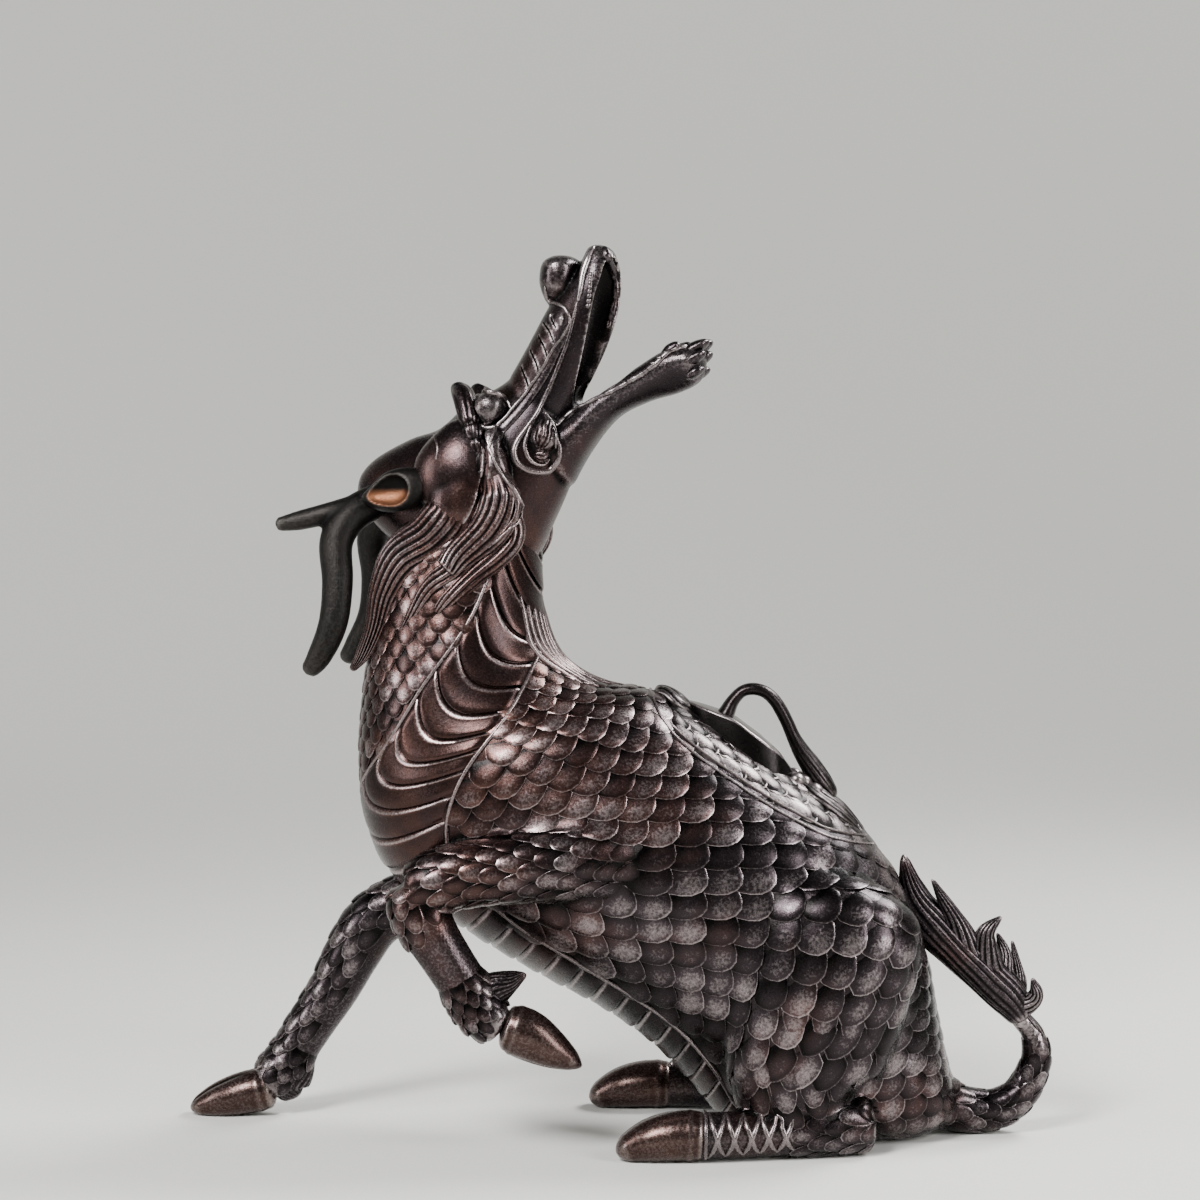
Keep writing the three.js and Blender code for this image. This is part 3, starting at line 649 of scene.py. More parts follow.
# %% Scale the haunches and legs
def rows_round(coat, table, wide, step, start=0.02, end=0.98, height=1.25, cap=(0.12, 0.1), limit=1.4,
               kind=SCALE, keep=None, spare=0.6, front=False):
    """Lays rows of scales round a limb, from a start to an end along it."""
    section = limb(table)

    def at(t, turn):
        return on_form(section, t, turn, cap=cap)

    t_fine = np.linspace(start, end, 400)
    line = at(t_fine, -math.pi / 2)
    run = np.concatenate([[0], np.cumsum(np.linalg.norm(np.diff(line, axis=0), axis=1))])
    for row in range(int(run[-1] / step) + 1):
        t = float(np.interp(row * step, run, t_fine))
        ring = at(t, np.linspace(0, 2 * math.pi, 25))
        round_ = np.linalg.norm(np.diff(ring, axis=0), axis=1).sum()
        count = max(5, round(round_ / wide))
        for k in range(count):
            turn = (k + 0.5 * (row % 2)) / count * 2 * math.pi
            p = at(t, turn)
            if keep and not keep(p) or front and math.cos(turn) < -0.3:
                continue
            ahead = unit(at(min(t + 0.03, 0.999), turn) - at(t - 0.03 if t > 0.03 else 0.0, turn))
            beside = at(t, turn + 0.1) - at(t, turn - 0.1)
            beside = unit(beside - ahead * (beside * ahead).sum()) * round_ / count
            coat.lay(p, beside, ahead * step, height=height, limit=limit, kind=kind, spare=spare)


limb_coat = Coat(11)
limb_coat.taken = coat.taken
for side, ahead in HIND_FEET:
    rows_round(limb_coat, on_side(THIGH, side), 10.5, 8.2, start=0.3, height=1.5, limit=2.0, spare=0.55,
               keep=lambda p: abs(p[1]) > 26 and p[2] < 70)
    rows_round(limb_coat, on_side(HIND_SHANK, side, ahead), 8.5, 7.4, start=0.06, end=0.42, height=1.2,
               limit=1.2)
rows_round(limb_coat, RIGHT_FORELEG, 9.0, 7.6, start=0.04, end=0.45, height=1.5, front=True)
rows_round(limb_coat, RIGHT_FORELEG, 7.8, 7.0, start=0.46, end=0.74, height=1.7, front=True)
rows_round(limb_coat, RIGHT_FORELEG, 9.5, 4.6, start=0.77, end=0.93, height=1.9, kind=LEAF)
rows_round(limb_coat, LEFT_UPPER_ARM, 9.0, 8.2, start=0.1, end=0.92, height=1.5, limit=1.8)
rows_round(limb_coat, LEFT_FOREARM, 9.0, 6.0, start=0.04, end=0.3, height=1.6)
rows_round(limb_coat, LEFT_FOREARM, 7.4, 4.4, start=0.62, end=0.92, height=1.9, kind=LEAF)
rows_round(limb_coat, TAIL, 8.0, 6.6, start=0.03, end=0.72, height=0.9, cap=(0.04, 0.04))
print(limb_coat.count, "scales on the limbs and tail")

trunk_scales = coat.finished("trunk_scales")
limb_scales = finished("limb_scales", limb_coat.bm, sharp=50)

# %% [markdown]
# ## Raised lines
# Folds, ribs, hair and rims on the figure are raised lines, rolled from wax and pressed on. Each is
# an oval section that follows a path, half sunk in the surface so that no gap shows under it.

# %% Lay a raised line
def strand(bm, path, high, wide, ground, rows=30, sides=8, sink=0.35, cap=(0.06, 0.06), rise=None):
    """Lays a raised line with an oval section along a path, with its foot sunk in the ground."""
    steps = np.linspace(0, 1, rows + 1)
    line = through(path, steps)
    high, wide = (np.interp(steps, np.linspace(0, 1, np.size(size)), np.atleast_1d(size))
                  for size in (high, wide))
    up = np.zeros_like(line)
    for k, q in enumerate(line):
        spot, up[k], far = ground.rest(q)
        line[k] = spot + up[k] * high[k] * (1 - 2 * sink)
    for _ in range(3):
        up[1:-1] = unit(up[:-2] + up[1:-1] + up[2:])
    along = unit(np.gradient(line, axis=0))
    side = unit(np.cross(up, along))
    up = np.cross(along, side)

    def section(t):
        k = np.clip(np.asarray(t, float), 0, 1) * rows

        def at(values):
            return np.stack([np.interp(k, np.arange(rows + 1), c) for c in values.T], -1)

        return at(line), at(up * high[:, None]), at(side * wide[:, None])

    sweep(bm, section, rows, sides, cap=cap, rise=rise)

# %% [markdown]
# ## Throat and belly plates
# The plates are single broad tiles bent across the band, each a grid with a round lower edge that
# stands over the next one. A thin raised line closes the band on both sides, as on the original.

# %% Measure the band
def band_point(t, share):
    middle, reach = np.moveaxis(through(PLATE_BAND, t), -1, 0)
    return on_form(torso, t, np.radians(middle + reach * share), cap=TRUNK_CAP)


fine_t = np.linspace(0.01, 0.985, 600)
middle_line = band_point(fine_t, 0.0)
run = np.concatenate([[0], np.cumsum(np.linalg.norm(np.diff(middle_line, axis=0), axis=1))])


def plate_edge(reached, share):
    """Where a plate's edge that is so far along the band's middle crosses a share of its width."""
    left = (1 - share) / 2
    chest = float(np.interp(reached, [0, 60, 170, 215], [1, 1, 1, 0]))
    hang = chest * (7 * left + 31 * left ** 2.6) + (1 - chest) * 6 * share * share
    return float(np.interp(reached - hang, run, fine_t))


# Length of a plate along the band, by the place where it starts.
PITCH_AT, PITCH = [0, 90, 190, 260, 420], [13, 15, 14.5, 13, 10]
pitches = [0.0]
while pitches[-1] < run[-1] - 6:
    pitches.append(pitches[-1] + float(np.interp(pitches[-1], PITCH_AT, PITCH)))
print("plates", len(pitches) - 1)

# %% Bend the plates
PLATE_RISE = 1.7  # how far a plate's lower edge stands over the skin
CREASE_AT = 0.28  # a low ridge runs across each plate, this far down its length
bm = bmesh.new()
tone = bm.verts.layers.float.new("tone")
worn_and_painted_light = bm.verts.layers.float.new("wear_and_painted_light")
shades = np.random.default_rng(5)
for low, high in zip(pitches, pitches[1:]):
    verts = bmesh.ops.create_grid(bm, x_segments=28, y_segments=13, size=1.0)["verts"]
    edge = []
    shade = shades.random()
    for v in verts:
        share, s = v.co.x, (v.co.y + 1) / 2
        t = plate_edge(low + (high - low) * (1.15 * s - 0.15), share)
        q, up, far = body_ground.rest(band_point(np.clip(t, 0.0, 0.995), share * 0.97))
        rise = min(1.0, max(0.0, (s - 0.1) / 0.2))
        lift = -0.7 + 1.5 * rise + (PLATE_RISE - 0.7) * s + 0.25 * math.exp(-((s - CREASE_AT) / 0.07) ** 2)
        lift -= 0.5 * max(0.0, s - 0.9) / 0.1 + 1.1 * max(0.0, abs(share) - 0.9) / 0.1
        v.co = placed(q + up * lift)
        v[tone] = shade
        # Wear here is partly real and partly painted light: the root under the plate before it gets painted
        # shade, and the low ridge gets painted highlight as well as rubbing.
        v[worn_and_painted_light] = 0.16 + 0.16 * rise + 0.4 * math.exp(-((s - CREASE_AT) / 0.06) ** 2) + 0.1 * s
        if s > 0.99:
            edge.append(v)
    rim = [e for e in bm.edges if e.verts[0] in edge and e.verts[1] in edge]
    fresh = bmesh.ops.extrude_edge_only(bm, edges=rim)["geom"]
    for v in points_of(fresh):
        q, up, far = body_ground.rest(on_drawing(v.co))
        v.co = placed(q - up * 0.6)
        v[tone] = shade
        # The folded edge gets no wear: painted shade under the plate's lower edge.
        v[worn_and_painted_light] = 0.0
bmesh.ops.recalc_face_normals(bm, faces=bm.faces)
if min(bm.faces, key=lambda f: f.calc_center_median().x).normal.x > 0:
    bmesh.ops.reverse_faces(bm, faces=bm.faces)
plates = finished("chest_plates", bm, sharp=50)

bm = bmesh.new()
for share in (-1.0, 1.0):
    path = band_point(np.linspace(0.02, 0.93, 60), share)
    strand(bm, path, 1.1, 1.0, body_ground, rows=150, cap=(0.01, 0.01))
border = finished("plate_border", bm)

# %% [markdown]
# ## The mane
# Long combed strands run down the back of the neck. Each is a thin raised line that tapers off and
# wanders a little, so that the comb marks don't look ruled.

# %% Comb the mane
MANE_COUNT = 13
bm = bmesh.new()
comb = np.random.default_rng(3)
for k in range(MANE_COUNT):
    share = (k + 0.5) / MANE_COUNT * 2 - 1
    t = np.linspace(0.1, 0.3 - 0.05 * abs(share) + 0.03 * comb.random(), 14)
    fan = np.interp(t, [0.1, 0.17, 0.3], [46, 40, 16])
    turn = np.radians(share * fan + 1.5 * np.sin(t * 60 + comb.random() * 2))
    strand(bm, on_form(torso, t, turn, cap=TRUNK_CAP), [0.4, 1.4, 1.6, 1.5, 1.3, 0.4],
           [0.5, 1.4, 1.6, 1.4, 1.1, 0.4], body_ground, rows=50, sink=0.25)
mane = finished("mane", bm)

# %% [markdown]
# ## Rims along the lid's seam
# The vessel's mouth and the lid each end in a low raised rim. On the original it stiffens the thin
# wall and catches the light. Its path is found by looking at the skin from each side, a little below
# or above the seam, so that both rims keep the same distance from the gap.

# %% Raise the rims
def rim_path(lift):
    path = []
    for side, xs in ((-1, np.linspace(118, 13.5, 70)), (1, np.linspace(13.5, 118, 70))):
        for x in xs:
            path.append(body_ground.struck([x, side * 100, seam_height(x) + lift], (0, -side, 0)))
    return [spot for spot in path if spot is not None]


rims = []
for name, lift in (("mouth_rim", -1.5), ("lid_rim", 1.5)):
    bm = bmesh.new()
    strand(bm, rim_path(lift), 1.1, 0.5, body_ground, rows=240, cap=(0.005, 0.005))
    rims.append(finished(name, bm))
mouth_rim, lid_rim = rims

# %% [markdown]
# ## The head
# The head is thrown back with its jaws wide open. It is drawn in a plane of its own, with the muzzle
# turned a little towards the near side. Skull, jaws and nose are joined like the trunk, but with
# finer voxels, because the lips and brows need them. Palate and tongue bed are then cut out.

# %% Stations of the head
TURN = math.radians(15)


def turn_head(q):
    p, v, z = np.moveaxis(np.asarray(q, float), -1, 0)
    return np.stack([-60 + p + v * math.sin(TURN), -p * math.tan(TURN) + v * math.cos(TURN), z], -1)


SKULL = [
    [-61, 293, -55, 281, 7], [-51, 305, -42, 268, 15], [-34, 314.5, -26, 254, 21], [-20, 319.5, 0, 247, 25],
    [-6, 332, 20, 258, 25], [5, 337, 30, 277, 22], [13, 343, 38, 296, 18], [18, 351, 42, 316, 14],
]
UPPER_JAW = [
    [9, 338, 30, 312, 17], [16, 350, 39, 323, 15], [22, 361, 46, 338, 14], [28, 372, 54, 355, 14],
    [34.5, 381, 59, 371, 13.5], [41, 388.5, 60, 385, 12], [44.5, 396, 57.5, 396, 8.5],
    [46.5, 400, 53, 400.3, 5],
]
PALATE = [
    [48, -2, 322, 10, 8], [53, -3, 342, 14, 9], [57, -4, 361, 15, 10], [60, -4, 378, 14, 10],
    [62, -3, 395, 10, 6],
]
LOWER_JAW = [
    [22, 322, 36, 288, 16], [36, 325, 46, 307, 14], [50, 336.5, 58.5, 323, 12], [66, 345, 72.5, 330.5, 11.5],
    [80, 353.5, 86, 334.5, 12], [90, 355, 94.5, 339, 11.5], [96.5, 353.5, 98, 346, 7.5],
]
TONGUE_BED = [
    [38, 336, 42, 326, 8], [50, 346, 55, 334, 7], [66, 355, 70, 343, 7], [82, 365, 86, 350, 8],
    [91, 368, 94, 357, 6],
]
NOSE_BULB = [[29.5, 0, 373, 6, 9], [32.8, 0, 381, 8.6, 12.5], [34, 0, 389, 9, 13], [34.2, 0, 396, 7.4, 11.5]]
EYE = [[1, -15, 330, 5, 5], [7, -18, 328, 8, 8], [13, -15, 325, 5, 5]]
BROW = [
    [-8, -10, 336, 4, 6], [-4, -18, 331, 5, 5.5], [1, -23.5, 318, 4.5, 4.5], [5, -25, 305, 3, 3],
    [6, -25.5, 290, 1.6, 1.6],
]
EAR = [
    [-20, -22, 294, 3, 4], [-24, -25, 294, 8, 6], [-32, -27, 291.5, 9.5, 6.5], [-40, -26, 289, 7, 6],
    [-48.5, -25, 288, 1.5, 2.5],
]
EAR_CUP = [[-26, -31, 294.5, 4, 4], [-33, -33, 292, 7.2, 5.5], [-45, -32, 288.5, 2.6, 3.5]]
HORN = [
    [-40, -10, 292, 5, 6], [-47, -17, 286, 7.6, 7.5], [-55, -24, 279, 7.8, 7.5], [-59, -29, 268, 7.4, 7],
    [-57, -33, 251, 6.8, 6.6], [-58, -36, 233, 6.4, 6.2], [-64, -37, 218, 5.4, 5.4],
    [-70, -37, 210, 3.6, 3.6],
]
HORN_PRONG = [
    [-50, -22, 284, 6.5, 6], [-64, -26, 281, 5, 5], [-76, -29, 278, 4.4, 4.4], [-86, -31, 276, 3, 3],
]
CHEEK_LOCK = [
    [-6, -18, 318, 9, 8], [-5, -23, 300, 12, 8], [-7, -26, 284, 12, 7], [-16, -28, 272, 11, 6],
    [-29, -29, 262, 10, 6], [-37, -28, 247, 7.5, 5], [-42, -26, 231, 5, 4], [-48, -25, 219, 3.5, 3],
    [-54, -24, 211, 1.4, 1.4],
]
JAW_LOCK = [
    [8, -19, 318, 4, 6], [10, -24, 303, 7, 6], [14, -26, 288, 9, 6], [10, -28, 275, 9, 6],
    [-3, -31, 263, 7, 5], [-13, -33, 251, 5.5, 4.5], [-21, -33, 239, 3.5, 3.5], [-29, -32, 229, 1.2, 1.4],
]
CHEEK = [
    [-7, -12, 322, 6, 6], [-6, -18, 313, 14, 9], [-7, -21.5, 302, 18.5, 10], [-9, -22, 291, 17, 9.5],
    [-12, -22, 280, 9, 6],
]
MOUTH_CORNER = [[30, -12, 321, 4, 5], [30, -16, 315, 6, 5], [31, -13, 308, 4, 5]]
FAR_HORN_BACK = [0, 0, -1, -3, -5, -7, -9, -9]  # the far horn sweeps back a little more than the near one


def both_sides(table):
    return (table, mirrored(table))


def head_forms(bm, tables, rows, sides, **more):
    forms(bm, tables, rows, sides, place=turn_head, **more)

# %% Join skull and jaws, then cut the mouth
HEAD_VOXEL, HEAD_ROUNDS = 0.00095, 9
LOCK_ROOTS = (CHEEK_LOCK[:3] + [[-12, -26, 277, 8, 4]], JAW_LOCK[:2] + [[12, -24, 293, 6, 4]])


def bowed(t, turn):
    """The lower jaw's tip is a little fuller along its edges."""
    return 4.0 * np.cos(turn) * np.sin(turn) ** 2 * np.clip((t - 0.35) / 0.3, 0, 1)


bm = bmesh.new()
sweep(bm, between(SKULL), 70, 56, cap=(0.08, 0.06), place=turn_head)
sweep(bm, between(UPPER_JAW), 60, 48, cap=(0.06, 0.05), place=turn_head)
sweep(bm, between(LOWER_JAW), 60, 48, cap=(0.06, 0.05), place=turn_head, rise=bowed)
head_forms(bm, [NOSE_BULB], 30, 32, cap=(0.35, 0.2))
head_forms(bm, both_sides(EYE), 20, 24, cap=(0.35, 0.35))
head_forms(bm, both_sides(MOUTH_CORNER), 16, 20, cap=(0.3, 0.3))
for table in (CHEEK, *LOCK_ROOTS):
    head_forms(bm, both_sides(table), 40, 32, cap=(0.12, 0.1))
head = one_skin(finished("head", bm), HEAD_VOXEL, HEAD_ROUNDS)
for form in (limb(PALATE), between(TONGUE_BED)):
    bm = bmesh.new()
    sweep(bm, form, 40, 32, cap=(0.1, 0.1), place=turn_head)
    cut_away(head, bm)
head_ground = Ground(head)
print("head as one:", len(head.data.polygons), "faces")

# %% [markdown]
# ## Horns, ears and hair
# Horns are plain round bars with a rough skin. The ears are leaf shaped cups, so a smaller form is
# cut out of each. Hair falls in heavy locks, and every lock is one form with grooves along it: the
# section goes in and out as it turns, which is how a carver runs a gouge along a lock.

# %% Grooved locks
def grooves(count, deep, twist=0.0, start=0.0):
    """A number of grooves along a lock, which wander a little and fade out at both ends."""
    def rise(t, turn):
        wave = np.abs(np.sin(count / 2 * (turn + twist * t + 0.25 * np.sin(t * 7))))
        fade = np.clip((t - start) / 0.16, 0, 1) * np.clip((1 - t) / 0.1, 0.15, 1)
        return -deep * (1 - wave ** 0.45) * fade

    return rise


def emerging(count, deep, twist, start):
    """Grooves on a lock whose root stays hidden under the skin before the start."""
    lines = grooves(count, deep, twist, start=start)
    return lambda t, turn: lines(t, turn) - 1.8 * np.clip(1 - (t - start) / 0.12, 0, 1)

# %% Model the locks
UPPER_BUNDLE = JAW_LOCK[:5] + [[-9, -33, 257, 5.5, 4.5]]
LOWER_BUNDLE = [
    [4, -28, 266, 5, 4], [-6, -30.5, 257, 6, 4.3], [-14, -32, 250, 5.5, 4.3], [-21, -33, 240, 4, 3.5],
    [-29, -33, 229, 1.2, 1.4],
]
BACK_LOCK = [
    [17, -20, 284, 4, 5], [18, -22, 273, 6, 5], [13, -25, 264, 6, 5], [3, -29, 254, 5, 4],
    [-7, -33, 244, 4, 3.5], [-15, -34, 235, 1.4, 1.4],
]
bm = bmesh.new()
head_forms(bm, both_sides(CHEEK_LOCK[1:]), 90, 126, cap=(0.08, 0.02), rise=emerging(18, 1.6, 0.6, 0.1))
head_forms(bm, both_sides(UPPER_BUNDLE), 80, 98, cap=(0.12, 0.03), rise=emerging(14, 1.3, 0.8, 0.26))
head_forms(bm, both_sides(LOWER_BUNDLE), 50, 84, cap=(0.08, 0.02), rise=grooves(12, 1.1, 0.6))
head_forms(bm, both_sides(BACK_LOCK), 50, 72, cap=(0.08, 0.03), rise=grooves(10, 1.0, 0.6))
locks = finished("hair_locks", bm)

# %% Model the horns
bm = bmesh.new()
far_horn = [[r[0] + back, *r[1:]] for r, back in zip(mirrored(HORN), FAR_HORN_BACK)]
head_forms(bm, (HORN, far_horn), 80, 32, cap=(0.04, 0.04))
head_forms(bm, both_sides(HORN_PRONG), 40, 28, cap=(0.05, 0.05))
horns = one_skin(finished("horns", bm), 0.0011, 5)
print("horns as one:", len(horns.data.polygons), "faces")

# %% Model the ears, with a note of how red each point of a cup is
bm, cups = bmesh.new(), bmesh.new()
head_forms(bm, both_sides(EAR), 40, 36, cap=(0.1, 0.06))
head_forms(cups, both_sides(EAR_CUP), 32, 28, cap=(0.2, 0.2))
ears, cups = finished("ears", bm), finished("ear_cups", cups)
cup_ground = Ground(cups)
cut(ears, cups, "DIFFERENCE")
one_skin(ears, 0.0007, 3)
bpy.data.objects.remove(cups)
blush = ears.data.attributes.new("blush", "FLOAT", "POINT")
for v, mark in zip(ears.data.vertices, blush.data):
    spot, up, far = cup_ground.rest(on_drawing(v.co))
    # Only the cup's lower part is red; its upper part is left dark as painted shade of the hollow.
    mark.value = max(0.0, 0.8 - far / 1.2) * min(1.0, max(0.0, (292.5 - spot[2]) / 3))
print("ears as one:", len(ears.data.polygons), "faces")

# %% [markdown]
# ## Lines drawn on the face
# Folds of the face are easiest to draw as they are seen from the near side, on a sheet of 1200 by
# 1200 small squares of 0.45 mm that stands upright through the figure. Each drawn point is carried
# from the eye through the sheet until it meets the head. The far side gets the mirror image.

# %% Carry a drawing onto the head
SQUARE, MIDDLE = 0.45, 600  # a square in millimetres, and the middle of the sheet in squares
AIM = np.array([-9.0, 0.0, 242.1])
TILT = math.radians(3)
EYE_DISTANCE = 1300
VIEWER = AIM + EYE_DISTANCE * np.array([0.0, -math.cos(TILT), math.sin(TILT)])


def drawn(path, ground, depth=-20.0):
    """Carries drawn points onto a surface. One that misses it is rested from the depth of the one before."""
    found = []
    for right, down in path:
        up = MIDDLE - down
        sheet = AIM + SQUARE * np.array([right - MIDDLE, up * math.sin(TILT), up * math.cos(TILT)])
        ray = unit(sheet - VIEWER)
        spot = ground.tree.ray_cast(placed(VIEWER), Vector(ray))[0]
        if spot is None:
            spot = placed(ground.rest(VIEWER + ray * (depth - VIEWER[1]) / ray[1])[0])
        found.append(on_drawing(spot))
        depth = found[-1][1]
    return np.array(found)


def across_head(points):
    """Mirrors points of the near side of the head in the head's own turned plane."""
    x, y, z = np.moveaxis(points, -1, 0)
    v = (y + (x + 60) * math.tan(TURN)) * math.cos(TURN)
    return turn_head(np.stack([x + 60 - v * math.sin(TURN), -v, z], -1))


def face_line(bm, path, high, wide, rows=40, ground=None, **more):
    """Lays a drawn line on both sides of the head."""
    near = drawn(path, ground or head_ground)
    for points in (near, across_head(near)):
        strand(bm, points, high, wide, ground or head_ground, rows=rows, **more)

# %% [markdown]
# ## Engraved lines
# A few lines of the head are cut in, not raised: the plates on the bridge of the nose and the deep
# crease behind the brow. Thin strands sunk in the skin serve as cutters for these.

# %% Engrave the head
NOSE_CUTS = [
    [(546, 311), (551, 318), (556, 328)], [(543, 322), (549, 331), (554, 343)],
    [(538, 335), (544, 347), (548, 360)], [(530, 349), (536, 363), (540, 379)],
    [(521, 366), (527, 382), (530, 396)],
]
CREASE = [(466, 394), (476, 414), (483, 432), (486, 452), (485, 472), (481, 492), (474, 512), (462, 530)]
for path in NOSE_CUTS + [CREASE]:
    bm = bmesh.new()
    size = 3.0 if path is CREASE else 0.9
    high, wide = ([size * share for share in shares] for shares in ((0.6, 1, 1, 0.6), (0.4, 0.55, 0.55, 0.4)))
    face_line(bm, path, high, wide, sink=0.5)
    cut_away(head, bm)

# %% [markdown]
# ## Brows, eyes, lips and barbels
# The rest of the face is raised. The brow is a notched ribbon, so its height goes up and down along
# it. The barbel is a broad ribbon with a thin crest on one edge, which is two strands side by side.

# %% Fold the brow
def brow_folds(t, turn):
    bands = np.exp(-((t - 0.46) / 0.02) ** 2) + np.exp(-((t - 0.58) / 0.02) ** 2)
    return grooves(7, 0.8)(t, turn) - 0.7 * bands


face_bm = bmesh.new()
head_forms(face_bm, both_sides(BROW), 90, 48, cap=(0.05, 0.05), rise=brow_folds)

# %% Draw the folds of the face
BARBEL_BAND = [
    (571, 322), (565, 336), (557, 350), (548, 368), (537, 386), (525, 403), (511, 419), (500, 431),
    (495, 441), (495, 452), (499, 463), (506, 475), (513, 489), (518, 502), (516, 516), (509, 526),
    (498, 536),
]
BARBEL_CREST = [
    (575, 312), (566, 332), (554, 349), (545, 366), (533, 384), (521, 401), (507, 416), (497, 428),
    (491, 440), (491, 451), (495, 463), (502, 475), (511, 488), (519, 501), (520, 514), (512, 526),
    (500, 537), (488, 548),
]
LIP_FOLD = [
    (577, 302), (573, 320), (568, 340), (560, 362), (551, 384), (543, 401), (536, 415), (526, 429),
    (518, 440), (514, 451), (516, 461), (523, 468), (535, 472), (548, 471), (557, 462), (560, 449),
    (556, 437), (549, 425),
]
INNER_FOLD = [
    (556, 376), (549, 392), (541, 406), (534, 420), (528, 434), (525, 446), (528, 457), (534, 463),
    (543, 465), (550, 459),
]
CORNER_TUFT = [(547, 419), (545, 429), (543, 439), (541, 448)]
CORNER_CURL = [(548, 451), (541, 455), (534, 458)]
CORNER_EDGE = [(545, 412), (552, 424), (555, 437), (556, 449)]
UPPER_EYELID = [(472, 401), (478, 395), (487, 392), (498, 395), (507, 402), (512, 411)]
LOWER_EYELID = [(473, 414), (477, 423), (486, 428), (498, 426), (509, 417)]
NOSE_FOLD = [(545, 286), (547, 295), (551, 301), (560, 305), (566, 309), (570, 318), (569, 326)]
NOSE_BEAD = [(563, 312), (562, 319), (561, 326)]
TEMPLE_LINE = [(438, 430), (437, 443), (436, 460)]
UPPER_LIP = [(594, 244), (588, 260), (584, 272), (581, 289), (578, 302)]
JAW_RIM = [
    (556, 426), (562, 420), (573, 411), (590, 402), (604, 395), (618, 388), (632, 380), (641, 375),
    (656, 364), (670, 352), (680, 344), (688, 342),
]
bm = bmesh.new()
bm.from_mesh(head.data)
bm.from_mesh(locks.data)
both = finished("head_and_hair", bm)
hair_ground = Ground(both)
bpy.data.objects.remove(both)

TUFTED = {"sides": 40, "cap": (0.2, 0.2), "rise": grooves(8, 0.7, 0.8)}


def chewed(t, turn):
    """The jaw's rim is a little uneven."""
    return 0.22 * np.sin(t * 150) * np.sin(t * 71)


# Each line with its heights and its widths from end to end, and how finely it is laid.
FACE_LINES = [
    (BARBEL_BAND, [0.5, 0.8, 0.9, 1.0, 0.9, 0.4], [1.4, 2.2, 2.4, 2.4, 1.8, 0.6],
     {"rows": 90, "sides": 10, "ground": hair_ground}),
    (BARBEL_CREST, [0.6, 1.6, 1.9, 2.0, 1.9, 1.4, 0.5], [0.7, 0.85, 0.9, 1.0, 0.9, 0.8, 0.5],
     {"rows": 120, "ground": hair_ground}),
    (LIP_FOLD, [0.6, 1.0, 1.4, 1.6, 1.5, 0.6], [0.8, 1.1, 1.3, 1.6, 1.5, 0.7], {"rows": 90}),
    (INNER_FOLD, [0.3, 0.8, 1.0, 1.1, 0.4], [0.5, 0.9, 1.1, 1.1, 0.5], {"rows": 60}),
    (UPPER_LIP, [1.0, 1.6, 1.6, 1.4, 0.8], [0.9, 1.9, 1.7, 1.2, 0.7], {"rows": 50}),
    (CORNER_TUFT, [1.6, 3.0, 2.8, 1.4], [3.7 * 0.6, 3.7, 3.7, 3.7 * 0.5], TUFTED),
    (CORNER_CURL, [1.6, 3.0, 2.8, 1.4], [3.3 * 0.6, 3.3, 3.3, 3.3 * 0.5], TUFTED),
    (CORNER_EDGE, [0.4, 1.0, 1.0, 0.4], 0.6, {}),
    (JAW_RIM, [0.7, 0.9, 1.0, 1.2, 1.3], [0.9, 1.1, 1.2, 1.4, 1.5], {"rows": 90, "rise": chewed}),
    (UPPER_EYELID, [0.5, 1.4, 1.5, 1.3, 0.5], [0.6, 1.1, 1.1, 0.6], {}),
    (LOWER_EYELID, [0.4, 0.9, 1.0, 0.4], [0.6, 1.2, 1.2, 0.6], {}),
    (NOSE_FOLD, [0.5, 1.2, 1.3, 1.2, 0.5], [0.5, 0.8, 0.9, 0.8, 0.5], {}),
    (NOSE_BEAD, [0.6, 1.5, 0.6], [0.6, 1.3, 0.6], {"rows": 16}),
    (TEMPLE_LINE, [0.2, 0.6, 0.2], [0.3, 0.7, 0.3], {"rows": 20}),
]
for path, high, wide, more in FACE_LINES:
    face_line(face_bm, path, high, wide, **more)
face_lines = finished("face_lines", face_bm)

# %% [markdown]
# ## Teeth and the curled lip
# The teeth are rows of small beads. The lower lip curls over at its tip in five lobes, which were
# pressed on one by one, and the far edge of the upper lip shows as a wavy line behind the mouth.

# %% Set the teeth and the lip
bm = bmesh.new()


def bead(q, radius, squash):
    made = bmesh.ops.create_icosphere(bm, subdivisions=2, radius=radius * MM)["verts"]
    bmesh.ops.scale(bm, vec=squash, verts=made)
    bmesh.ops.translate(bm, vec=placed(q), verts=made)


def face_beads(path, count, radius, squash):
    near = drawn(through(path, np.linspace(0, 1, count)), head_ground)
    for q in (*near, *across_head(near)):
        spot, up, far = head_ground.rest(q)
        bead(spot + up * radius * 0.2, radius, squash)


UPPER_TEETH = [(591, 275), (590, 287), (588, 306)]
LOWER_TEETH = [(655, 364), (664, 356), (672, 350)]
face_beads(UPPER_TEETH, 9, 1.15, (1.0, 0.8, 1.1))
face_beads(LOWER_TEETH, 4, 1.6, (1.3, 0.9, 0.8))
FAR_LIP = [(603, 247), (608, 258), (613, 272), (616, 286), (615, 300), (611, 316), (607, 330)]
far_edge = drawn(through(FAR_LIP, np.linspace(0, 1, 7)), head_ground, depth=12.0)
far_edge = [head_ground.rest(q)[0] for q in far_edge]
sweep(bm, limb([[*q, 1.9, 2.1] for q in far_edge]), 60, 14, cap=(0.06, 0.06),
      rise=lambda t, turn: 0.55 * np.abs(np.sin(t * 4.5 * math.pi)) - 0.3)
